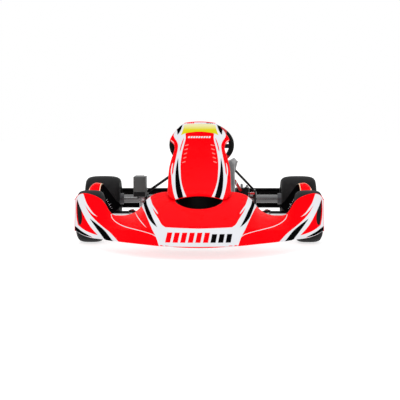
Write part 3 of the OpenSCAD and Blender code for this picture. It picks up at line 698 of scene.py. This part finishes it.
# Outlines are (x, z) on the driver's right, seen from the front, and are mirrored to the left
NOSE_BAND = shape([(0, 52), (-85, 54), (-172, 58)],
                  [(-172, 58), (-185, 92), (-203, 121), (-231, 162), (-253, 190), (-276, 207)],
                  [(-276, 207), (-258, 236), (-232, 251)],
                  [(-232, 251), (-226, 224), (-205, 192), (-180, 164), (-165, 146), (-147, 136)],
                  [(-147, 136), (0, 132)])
NOSE_WEDGE = shape([(-267, 222), (-251, 198), (-230, 168), (-207, 148), (-184, 135)],
                   [(-184, 135), (-205, 162), (-226, 192), (-244, 216), (-253, 236)],
                   [(-253, 236), (-267, 222)])
NOSE_FLICK = stroke([(-231, 240), (-220, 217), (-203, 200), (-186, 184)], 7, ends=0.1)
WING_BAND = shape([(-584, 246), (-572, 258), (-555, 264)],
                  [(-555, 264), (-537, 222), (-520, 198), (-499, 174), (-476, 158)],
                  [(-476, 158), (-500, 168), (-523, 187), (-544, 212)],
                  [(-544, 212), (-519, 174), (-485, 142), (-444, 115), (-405, 94), (-374, 70), (-359, 56)],
                  [(-359, 56), (-445, 54)],
                  [(-445, 54), (-487, 90), (-515, 118), (-541, 155), (-566, 196), (-584, 236)],
                  [(-584, 236), (-584, 246)])
WING_WEDGE = shape([(-515, 149), (-478, 106), (-432, 58)], [(-432, 58), (-390, 58)],
                   [(-390, 58), (-431, 96), (-474, 124), (-515, 149)])
BORDER_BAND = shape([(-584, 249), (-593, 238)], [(-593, 238), (-593, 106)],
                    [(-593, 106), (-565, 88), (-535, 76), (-500, 64), (-450, 57)],
                    [(-450, 57), (-459, 73), (-490, 79), (-525, 88), (-554, 101), (-577, 114)],
                    [(-577, 114), (-585, 147), (-588, 190), (-585, 236)], [(-585, 236), (-584, 249)])
LOW_WEDGE = shape([(-593, 107), (-562, 90), (-532, 77), (-500, 64)],
                  [(-500, 64), (-530, 67), (-562, 75), (-593, 86)], [(-593, 86), (-593, 107)])
LIP_LINE = stroke([(-470, 60), (-515, 63), (-560, 74), (-591, 84)], 5)
NOSE_SEAM = stroke([(-414, 169), (-404, 152), (-378, 137), (-338, 126), (-283, 120), (-241, 114),
                    (-204, 106), (-187, 98)], 2.3)
# A painted highlight: a short white streak that fades at its ends, on the driver's right only
NOSE_HIGHLIGHT_STREAK = stroke([(-301, 177), (-272, 157), (-234, 131)], 3, ends=0.1)

laid("nose_white", [NOSE_BAND, NOSE_FLICK, WING_BAND, BORDER_BAND, LIP_LINE], NOSE_TREE, VINYL_WHITE,
     on_nose, lift=0.6, cell=6)
# The painted highlight streak is laid in white on the nose
laid("nose_highlight_streak", [NOSE_HIGHLIGHT_STREAK], NOSE_TREE, VINYL_WHITE, on_nose, mirror=False)
laid("nose_trim", [NOSE_SEAM], NOSE_TREE, VINYL_WHITE, on_nose, lift=0.4)
laid("nose_black", [NOSE_WEDGE, WING_WEDGE, LOW_WEDGE], NOSE_TREE, VINYL_BLACK, on_nose, lift=1.0)
BAR_PITCH = 33
RED_BARS = [slanted(-146 + BAR_PITCH * i, 76, 22, 40) for i in range(6)]
BLACK_BARS = [slanted(-146 + BAR_PITCH * i, 76, 22, 34) for i in range(6, 9)]
laid("nose_bars_red", RED_BARS, NOSE_TREE, RED, on_nose, mirror=False, lift=1.0)
laid("nose_bars_black", BLACK_BARS, NOSE_TREE, VINYL_BLACK, on_nose, mirror=False, lift=1.0)


# -------------------- front panel
PANEL_HALF = [(257, 112), (265, 130), (282, 148), (310, 151), (385, 151), (430, 143), (465, 132), (488, 127),
              (502, 129), (512, 136), (523, 148), (532, 152), (556, 139), (575, 124), (590, 104), (599, 90),
              (606, 80)]
PANEL_Y = [(257, -345), (282, -300), (325, -215), (390, -105), (475, 10), (511, 50), (560, 100), (606, 140)]
PANEL_LOW, PANEL_HIGH = 257, 606


def ease(t):
    t = min(1, max(0, t))
    return t * t * (3 - 2 * t)


def panel_droop(z):
    """How much lower a row of the panel is at its ends than in its middle."""
    return 19 - 3 * ease((z - PANEL_LOW) / 80) - 9 * ease((z - 560) / 46)


def panel_row(z):
    crown = ease((z - PANEL_LOW) / 80)
    half, y = curve(PANEL_HALF, z), FRONT_AXLE + curve(PANEL_Y, z)
    droop = panel_droop(z)
    # The rolled edge turns back over the last few millimetres
    row = []
    for i in range(-24, 25):
        s = math.sin(math.pi / 2 * i / 24)
        roll = max(0, abs(s) - 0.965) / 0.035
        row.append((s * half, y + 26 * crown * s * s + 7 * roll ** 2, z - droop * s * s - 2 * roll ** 2))
    return row


def make_panel():
    rows = [panel_row(mix(PANEL_LOW, PANEL_HIGH, i / 110)) for i in range(111)]
    panel = skin("panel", rows, RED)
    turn_out(panel, (0, -1, 0))
    solidify(panel, SKIN)
    shade_by_angle(panel, 40)
    place(panel, "chassis", "red_bodywork", "front_panel")
    return tree_of(rows)


PANEL_TREE = make_panel()


def on_panel(a, b):
    high = PANEL_HIGH - 4 - 7 * (a / 80) ** 2
    low = PANEL_LOW + 3 - 19 * (a / 112) ** 2
    z = min(high, max(low, b))
    row = z
    for _ in range(4):
        row = z + panel_droop(row)
    side = curve(PANEL_HALF, min(PANEL_HIGH, max(PANEL_LOW, row))) - 3.5
    return max(-side, min(side, a)), z


PANEL_BAND = shape([(-58, 252), (-107, 236)],
                   [(-107, 236), (-121, 269), (-132, 308), (-136, 340)],
                   [(-136, 340), (-128, 356), (-126, 380), (-118, 422), (-111, 459), (-109, 484),
                    (-115, 503), (-128, 522), (-133, 538), (-121, 567), (-100, 588)],
                   [(-100, 588), (-80, 600), (0, 606)], [(0, 606), (0, 556)],
                   [(0, 556), (-26, 555), (-55, 551), (-73, 544)],
                   [(-73, 544), (-71, 525), (-73, 509), (-82, 474), (-89, 440), (-93, 401), (-92, 366),
                    (-87, 323), (-76, 288), (-58, 252)])
PANEL_FLICK = stroke([(-135, 338), (-137, 358), (-136, 378), (-132, 400)], 6, ends=0.2)
PANEL_WEDGE = shape([(-94, 240), (-107, 272), (-114, 309), (-116, 351), (-113, 388), (-106, 424)],
                    [(-106, 424), (-104, 386), (-100, 351), (-93, 315), (-84, 283), (-71, 246)],
                    [(-71, 246), (-94, 240)])
EAR_SLASH = shape([(-88, 592), (-120, 570)], [(-120, 570), (-115, 555), (-113, 538)],
                  [(-113, 538), (-104, 549), (-95, 568), (-88, 592)])
EAR_LINE = stroke([(-149, 513), (-135, 500), (-127, 486)], 3, ends=0.3)
WAIST_SLIVER = stroke([(-98, 455), (-92, 484), (-80, 521)], 5, ends=0.1)
PLATE = shape([(0, 594), (-60, 592), (-80, 586)], [(-80, 586), (-86, 561), (-95, 536)],
              [(-95, 536), (-71, 546), (-26, 553), (0, 554)])
LOUVRES = [stroke([(-86 + 5 * i - 0.6 * i * i, 401 + 20.5 * i), (-76 + 4 * i, 405 + 20.5 * i),
                   (-68 + 3 * i, 408 + 20.5 * i)], 4.5, ends=0.2) for i in range(5)]
DASHES = [slanted(-60 + 13 * i, 522, 9, 9, 0.4) for i in range(9)]
RED_TICKS = [slanted(-64 + 9 * i, 595.5, 6, 5.5, 0.3) for i in range(4)]
BLACK_TICKS = [slanted(34 + 9 * i, 595.5, 6, 5.5, 0.3) for i in range(4)]

laid("panel_white", [PANEL_BAND, PANEL_FLICK, EAR_LINE], PANEL_TREE, VINYL_WHITE, on_panel)
laid("panel_black", [PANEL_WEDGE, EAR_SLASH], PANEL_TREE, VINYL_BLACK, on_panel, lift=1.0)
laid("panel_sliver", [WAIST_SLIVER], PANEL_TREE, RED, on_panel, lift=1.0)
laid("panel_plate", [PLATE], PANEL_TREE, PLATE_VINYL, on_panel, lift=1.0)
# The louvre fins are raised red fins; their pale red colour is a painted highlight
laid("panel_louvres", LOUVRES, PANEL_TREE, LOUVRE_HIGHLIGHT_RED, on_panel, lift=1.6, thick=2.4)
laid("panel_dashes", DASHES, PANEL_TREE, VINYL_WHITE, on_panel, mirror=False, lift=0.6)
laid("panel_ticks_red", RED_TICKS, PANEL_TREE, RED, on_panel, mirror=False, lift=1.0)
laid("panel_ticks_black", BLACK_TICKS, PANEL_TREE, VINYL_BLACK, on_panel, mirror=False, lift=1.0)


# -------------------- side pods
POD_FRONT, POD_BACK, POD_OUTER = -70, 520, 690
POD_SPLIT = 545
POD_HUMP = [(0, 128), (0.15, 205), (0.3, 262), (0.45, 266), (0.65, 236), (0.85, 190), (1, 150)]


def pod_row(t):
    h = curve(POD_HUMP, t)
    k = (h - 110) / 158
    y = mix(POD_FRONT, POD_BACK, t)
    edge = mix(POD_OUTER - 42, POD_OUTER, ease(t * 2))
    keys = [(470, 112), (mix(478, 514, k), mix(112, h, 0.5)), (mix(490, 541, k), h - 12),
            (mix(520, 562, k), h - 1), (mix(556, 586, k), h - 2), (mix(590, 608, k), h - mix(8, 22, k)),
            (mix(edge - 60, edge - 54, k), mix(130, 210, k)), (edge - 6, mix(112, 150, k)), (edge - 1, 98),
            (edge - 3, 78), (edge - 6, 64)]
    return [(a, y, b) for a, b in smooth_path(keys, 5)]


def make_pod(side, body_name):
    rows = [[(side * x, y, z) for x, y, z in pod_row(i / 100)] for i in range(101)]
    pod = skin("side_pod_skin_" + body_name, rows, RED)
    turn_out(pod, (0, 0, 1))
    pod.data.materials.append(VINYL_BLACK)
    for face in pod.data.polygons:
        face.material_index = 1 if abs(face.center.x / MM) < POD_SPLIT else 0
    solidify(pod, SKIN)
    shade_by_angle(pod, 40)
    place(pod, "chassis", "red_bodywork", "side_pod_" + body_name)
    return tree_of(rows)


def from_above(a, b):
    return Vector((a, b, 2000)), Vector((0, 0, -1))


POD_TREES = {"left": make_pod(1, "left"), "right": make_pod(-1, "right")}
# Outlines are (x, y) on the driver's left, seen from above
# The cream lines along the hump's inner and outer shoulders and across its crest are painted highlights
POD_INNER_SHOULDER_HIGHLIGHT = stroke([(547, -66), (547, 100), (547, 300), (547, 512)], 3.5)
POD_OUTER_SHOULDER_HIGHLIGHT = stroke([(596, -66), (604, 40), (611, 160), (612, 300), (604, 420), (590, 512)], 3.5)
POD_CREST_HIGHLIGHT = stroke([(549, 140), (580, 141), (610, 140)], 3.5)
# The pin line is (x, z), seen from the front
POD_PIN = stroke([(513, 189), (493, 153), (473, 121)], 4)
POD_BAND = shape([(628, -30), (640, 90), (652, 240), (664, 400)],
                 [(664, 400), (646, 240), (632, 90), (616, -30)], [(616, -30), (628, -30)])


def dress_pod(side, name):
    """Lines of painted highlight along the shoulders and crest, and a band and a pin line of white vinyl, on
    the side pod of one side.
    """
    def turned(*outlines):
        return [[(side * a, b) for a, b in outline] for outline in outlines]
    tree = POD_TREES[name]
    laid("pod_highlight_" + name, turned(POD_INNER_SHOULDER_HIGHLIGHT, POD_OUTER_SHOULDER_HIGHLIGHT, POD_CREST_HIGHLIGHT), tree, POD_HIGHLIGHT_CREAM, mirror=False,
         seen=from_above)
    laid("pod_white_" + name, turned(POD_BAND), tree, VINYL_WHITE, mirror=False, seen=from_above)
    laid("pod_pin_" + name, turned(POD_PIN), tree, VINYL_WHITE, mirror=False, lift=1.5, cell=5)


dress_pod(1, "left")
dress_pod(-1, "right")


# -------------------- rear bumper
BUMPER_FRONT, BUMPER_BACK, BUMPER_END = 872, 1005, 692
BUMPER_MID, BUMPER_HALF = 130.5, 60.5


def soft(value, power):
    return math.copysign(abs(value) ** power, value)


def make_rear_bumper():
    rows = []
    for i in range(121):
        x = BUMPER_END * math.sin(math.pi / 2 * (i / 60 - 1))
        depth = 34 + (BUMPER_BACK - BUMPER_FRONT - 34) * max(0, 1 - (abs(x) / BUMPER_END) ** 7) ** 0.5
        # Two shallow moulded grooves run along the rear face
        row = []
        for j in range(61):
            a = math.pi * (j / 60 - 0.5)
            z = soft(math.sin(a), 0.5) * BUMPER_HALF
            groove = 2.2 * sum(math.exp(-((z - at) / 4) ** 2) for at in (-24, 24))
            row.append((x, BUMPER_FRONT + depth * soft(math.cos(a), 0.35) - groove, BUMPER_MID + z))
        rows.append(row)
    bumper = skin("rear_bumper_skin", rows, BLACK_PLASTIC)
    turn_out(bumper, (0, 1, 0))
    solidify(bumper, 5)
    shade_by_angle(bumper, 40)
    return place(bumper, "chassis", "black_plastic", "rear_bumper")


make_rear_bumper()


# -------------------- seat
SEAT_X = 22
# The seat's middle line (y, z) from its front edge to the top of its back, in nine numbered points, and
# its half width, the rise of its sides and how far they lean back, over the number of the point
SEAT_LINE = [(75, 128), (135, 82), (220, 52), (330, 44), (420, 62), (480, 130), (515, 220), (540, 320),
             (553, 372)]
SEAT_HALF = [(0, 150), (1, 165), (2, 174), (3, 178), (4, 178), (5, 185), (6, 182), (7, 170), (8, 130)]
SEAT_SIDE = [(0, 42), (1, 72), (2, 120), (3, 215), (4, 300), (5, 252), (6, 166), (7, 79), (8, 12)]
SEAT_LEAN = [(0, 0), (1, 0), (2, 0), (3, 10), (4, 20), (5, -40), (6, -80), (7, -60), (8, -10)]


def seat_point(k, s, inset):
    i = min(7, int(k))
    y, z = (mix(SEAT_LINE[i][n], SEAT_LINE[i + 1][n], k - i) for n in (0, 1))
    half = curve(SEAT_HALF, k) - inset
    side = max(0, (abs(s) - 0.45) / 0.55)
    flat = min(1, abs(s) / 0.62)
    back = k > 4.4
    wing = (10 * max(0, (side - 0.8) / 0.2) ** 2 - 9 * math.sin(math.pi * side)) * ease((k - 3.5) / 1.2)
    return (SEAT_X + math.copysign(half * math.sin(math.pi / 2 * flat) + wing, s),
            y + curve(SEAT_LEAN, k) * side - inset * (1 if back else 0),
            z + inset * (0.2 if back else 1) * (1 - side * 0.8) + curve(SEAT_SIDE, k) * side ** 1.5)


def make_seat():
    rows = [[seat_point(8 * i / 96, s / 48, 1) for s in range(-48, 49)] for i in range(97)]
    seat = skin("seat", rows, SEAT)
    made = seat.modifiers.new("round", "SMOOTH")
    made.factor, made.iterations = 0.5, 6
    apply_modifiers(seat)
    turn_out(seat, (0, 0, -1))
    solidify(seat, SKIN)
    shade_by_angle(seat, 40)
    return place(seat, "chassis", "seat_shell", "seat_shell")


make_seat()


# -------------------- tubes of the frame and bumpers
def rounded(points, radius):
    """Path whose inner corners are arcs of the given radius, with a point every five degrees or less."""
    pts = [Vector(p) for p in points]
    out = [pts[0]]
    for a, b, c in zip(pts, pts[1:], pts[2:]):
        u, w = (b - a).normalized(), (c - b).normalized()
        turn = u.angle(w)
        inward = (w - w.dot(u) * u).normalized()
        centre = b - u * radius * math.tan(turn / 2) + inward * radius
        n = max(2, math.ceil(math.degrees(turn) / 5))
        out += [centre - inward * radius * math.cos(turn * i / n) + u * radius * math.sin(turn * i / n)
                for i in range(n + 1)]
    return out + [pts[-1]]


def flipped(points):
    return [(-x, y, z) for x, y, z in points]


def welded(name, lines, rings, look, slot_name, *nodes):
    """Tubes (points, radius, bend radius) and weld beads (centre, direction, radius) as one piece."""
    parts = [tube(name + "_tube", rounded(points, bend) if bend else points, radius, look)
             for points, radius, bend in lines]
    for centre, direction, radius in rings:
        parts.append(weld_bead(name + "_weld", centre, direction, radius, look))
    return place(join(name, parts), "chassis", slot_name, *nodes)


def weld_bead(name, centre, direction, radius, look):
    """A rippled ring of weld around a tube that leaves centre along direction."""
    heading = Vector(direction).normalized()
    across = heading.orthogonal().normalized()
    other = heading.cross(across)
    rows = []
    for i in range(72):
        a = math.tau * i / 72
        ripple = 1 + 0.18 * math.sin(18 * a)
        out = math.cos(a) * across + math.sin(a) * other
        rows.append([tuple(Vector(centre) + out * (radius + 1.9 * ripple * math.cos(b))
                           + heading * 2.6 * ripple * math.sin(b))
                     for b in [math.tau * k / 8 for k in range(8)]])
    return skin(name, rows, look, closed_rows=True, closed_cols=True)


RAIL_X, RAIL_Z, TUBE_R, BAR_R = 330, 55, 15, 10
RAIL = [(RAIL_X, 800, RAIL_Z), (RAIL_X, 400, RAIL_Z), (288, 90, RAIL_Z), (300, -322, RAIL_Z)]
RAIL_WELDS = [((314, 570, RAIL_Z), (1, 0, 0), 14), ((274, 110, RAIL_Z), (1, 0, 0), 14),
              ((283, -225, RAIL_Z), (1, 0, 0), 14)]
for rail_side, rail_name in ((1, "left"), (-1, "right")):
    rail_rings = [((rail_side * x, y, z), d, r) for (x, y, z), d, r in RAIL_WELDS]
    rail_line = RAIL if rail_side > 0 else flipped(RAIL)
    welded("rail_" + rail_name, [(rail_line, TUBE_R, 120)], rail_rings, FRAME_PAINT, "frame_paint",
           "frame_rail_" + rail_name)
LOOP_HALF = [(283, -345, RAIL_Z), (170, -470, RAIL_Z), (140, -700, RAIL_Z)]
loop_line = LOOP_HALF + flipped(LOOP_HALF)[::-1]
loop_extra = []
for s in (-1, 1):
    loop_extra.append(([(s * 162, -520, 60), (s * 182, -520, 60)], 9, 0))
    loop_extra.append(([(s * 180, -520, 64), (s * 242, -520, 64)], 6, 0))
welded("front_loop", [(loop_line, TUBE_R, 70)] + loop_extra, [], FRAME_PAINT, "frame_paint",
       "frame_front_loop")
LOWER_BAR = [(168, -585, 76), (168, -830, 76), (-168, -830, 76), (-168, -585, 76)]
UPPER_BAR = [(148, -590, 66), (148, -668, 188), (-148, -668, 188), (-148, -590, 66)]
SIDE_BAR = [(306, -20, 78), (610, -20, 78), (610, 440, 78), (338, 440, 78)]
BUMPER_ARM = [(RAIL_X, 800, RAIL_Z), (RAIL_X, 868, 92), (RAIL_X, 975, 118)]
BLACK_TUBES = [
    ("bumper_low", [(LOWER_BAR, BAR_R, 60)], "front_bumper_lower"),
    ("bumper_high", [(UPPER_BAR, BAR_R - 2, 50)], "front_bumper_upper"),
    ("side_rails", [(SIDE_BAR, BAR_R, 60), (flipped(SIDE_BAR), BAR_R, 60)], "side_bars"),
    ("bumper_arms", [(BUMPER_ARM, TUBE_R, 80), (flipped(BUMPER_ARM), TUBE_R, 80)], "rear_bumper_brackets"),
]
for bar_name, bar_lines, bar_node in BLACK_TUBES:
    welded(bar_name, bar_lines, [], BLACK_PAINT, "black_paint", bar_node)


# -------------------- tyres
def tyre_profile(radius, width, rim_width):
    """Closed section (radius, distance from the middle) with sidewall ribs and a slightly scrubbed tread."""
    bead = 63.5
    low = bead + 9
    outer = []
    steps = 48
    for i in range(steps + 1):
        a = math.pi * (i / steps - 0.5)
        c, s = max(0, math.cos(a)), math.sin(a)
        r = low + (radius - low) * c ** 0.34
        d = width / 2 * soft(s, 0.72)
        outer.append((r, d))
    finer = smooth_path(outer, 3)
    shaped = []
    for r, d in finer:
        side = abs(d) / (width / 2)
        rib = 1.1 * sum(math.exp(-((r - at) / 1.3) ** 2) for at in (bead + 17, bead + 25, radius - 24))
        if side > 0.8:
            d -= math.copysign(1.3 - rib, d)
        else:
            r -= 0.35 + 0.35 * math.cos(d * 0.9)
        shaped.append((r, d))
    half = rim_width / 2
    first = [(bead + 1.4, 16 - half), (bead + 1.4, 6 - half), (bead + 9, 4.3 - half), (bead + 9.6, -half)]
    last = [(bead + 9.6, half), (bead + 9, half - 4.3), (bead + 1.4, half - 6), (bead + 1.4, half - 16)]
    inner = [(r - 5 if r > low + 8 else r + 1, d * (1 - 14 / width)) for r, d in outer[::-1] if r > low + 8]
    inner = [(bead + 9, half - 14)] + inner + [(bead + 9, 14 - half)]
    return first + shaped + last + inner


def make_tyre(name, x, y, z, width, rim_width, body, *nodes):
    made = lathe(name, tyre_profile(z, width, rim_width), (x, y, z), TYRE, 144)
    return made if body is None else place(made, body, "tyre_rubber", *nodes)


FRONT_TYRE_X, FRONT_TYRE_R, FRONT_TYRE_W, FRONT_RIM_W = 546, 131, 132, 118
REAR_TYRE_R, REAR_TYRE_W, REAR_RIM_W = REAR_AXLE_Z, 212, 196
REAR_TYRE_X = 700 - REAR_TYRE_W / 2
for s, side_name in ((1, "left"), (-1, "right")):
    make_tyre("tyre_front_" + side_name, s * FRONT_TYRE_X, FRONT_AXLE, FRONT_TYRE_R, FRONT_TYRE_W,
              FRONT_RIM_W, "wheel_" + side_name, "front_tyre_" + side_name)
rear_pair = [make_tyre("tyre_rear", s * REAR_TYRE_X, REAR_AXLE, REAR_TYRE_R, REAR_TYRE_W, REAR_RIM_W, None)
             for s in (-1, 1)]
place(join("tyres_rear", rear_pair), "rear_axle_set", "tyre_rubber", "rear_tyres")


# -------------------- steering wheel grip
WHEEL_X, WHEEL_Y, WHEEL_Z, WHEEL_R, GRIP_R = 9, -17, 479, 159, 14.5
# Angles of the red grip sections, in radians from the driver's left
GRIP_RED = (0.82, -0.54, math.pi - 0.82, math.pi + 0.54)
GRIP_RED_HALF = 0.13
COLUMN_UP = Vector((0, math.sqrt(0.5), math.sqrt(0.5)))
COLUMN_BACK = Vector((0, math.sqrt(0.5), -math.sqrt(0.5)))


def on_wheel(turn, ring_r, lift):
    """Point in the wheel's plane at an angle from the driver's left, ring_r out and lift up the column."""
    out = math.cos(turn) * Vector((1, 0, 0)) - math.sin(turn) * COLUMN_BACK
    return Vector((WHEEL_X, WHEEL_Y, WHEEL_Z)) + out * ring_r + COLUMN_UP * lift


def make_grip():
    rows = []
    for i in range(240):
        a = math.tau * i / 240
        # The hand grips at the sides are a little thicker, with finger waves inside
        hold = max(0, math.cos(a) ** 2 - 0.45) / 0.55
        row = []
        for k in range(28):
            b = math.tau * k / 28
            r = GRIP_R - 1.4 + 1.3 * hold - 0.8 * hold * (1 + math.sin(26 * a)) * max(0, -math.cos(b))
            row.append(tuple(on_wheel(a, WHEEL_R + r * math.cos(b), r * math.sin(b))))
        rows.append(row)
    grip = skin("wheel_grip", rows, SUEDE, closed_rows=True, closed_cols=True)
    grip.data.materials.append(SUEDE_RED)
    middle = Vector((WHEEL_X, WHEEL_Y, WHEEL_Z))
    for face in grip.data.polygons:
        away = face.center / MM - middle
        a = math.atan2(away.dot(-COLUMN_BACK), away.x)
        if min(abs(math.remainder(a - t, math.tau)) for t in GRIP_RED) < GRIP_RED_HALF:
            face.material_index = 1
    return place(grip, "steering", "grip_suede", "steering_grip")


def make_stitches():
    """A row of short raised stitches along the inside of the grip."""
    parts = []
    for i in range(120):
        a = math.tau * i / 120
        ring_r = WHEEL_R - GRIP_R + 1.1
        ends = [on_wheel(a - 0.011, ring_r, 2.4), on_wheel(a, ring_r - 0.7, 0),
                on_wheel(a + 0.011, ring_r, -2.4)]
        parts.append(tube("stitch", ends, 0.8, VINYL_WHITE, 6))
    return place(join("wheel_stitches", parts), "steering", "grip_suede")


make_grip()
make_stitches()


# -------------------- edges of the remaining CAD parts
def slot_of(node):
    return next(p["material_slot"] for p in frame["record"]["subparts"] if p["node"] == node)


def dressed(node, width):
    """A copy of a CAD node with small rounded edges, on the same body and in the node's place."""
    source = frame["nodes"][node]
    data = source.data.copy()
    obj = linked(node + "_finish", data)
    mesh = bmesh.new()
    mesh.from_mesh(data)
    bmesh.ops.remove_doubles(mesh, verts=mesh.verts, dist=2e-6)
    bmesh.ops.dissolve_limit(mesh, angle_limit=math.radians(0.5), verts=mesh.verts, edges=mesh.edges)
    mesh.to_mesh(data)
    mesh.free()
    for layer in ("custom_normal", "sharp_face", "sharp_edge"):
        if layer in data.attributes:
            data.attributes.remove(data.attributes[layer])
    bevel(obj, width)
    apply_modifiers(obj)
    shade_by_angle(obj, 30)
    body = next(b for b, names in frame["record"]["behaviour"]["bodies"].items() if node in names)
    return place(obj, body, slot_of(node), node)


EDGES = {"chain_guard": 3, "fuel_tank": 8, "brake_caliper": 2.5, "steering_bearing": 2, "steering_hub": 1,
         "steering_spokes": 1, "bearing_hangers": 1.2, "kingpin_yokes": 1, "sprocket": 0.5,
         "master_cylinder": 1, "master_lever": 0.5, "caliper_bracket": 1, "floor_tray": 0.8,
         "seat_bolts": 1, "fuel_cap": 0.8, "front_hub_left": 1, "front_hub_right": 1, "rear_hubs": 1,
         "caster_pills": 0.8, "kingpin_bolts": 0.6, "axle_bearings": 0.8, "brake_disc": 0.5,
         "pad_inner": 0.6, "pad_outer": 0.6, "nose_clamps": 0.8, "stub_axle_left": 0.8,
         "stub_axle_right": 0.8, "brake_rod": 0.5, "steering_column": 0.8, "panel_bracket": 0.8,
         "throttle_pedal": 0.6, "brake_pedal": 0.6}
for edge_node, edge_width in EDGES.items():
    dressed(edge_node, edge_width)


def make_guard_band():
    """Dark lower band across the front face of the chain guard."""
    outline = [(-391, 171), (-325, 171), (-325, 197), (-391, 197)]
    return place(prism("guard_band", outline, 454, 455.4, "y", BLACK_PLASTIC), "chassis",
                 slot_of("chain_guard"))


make_guard_band()
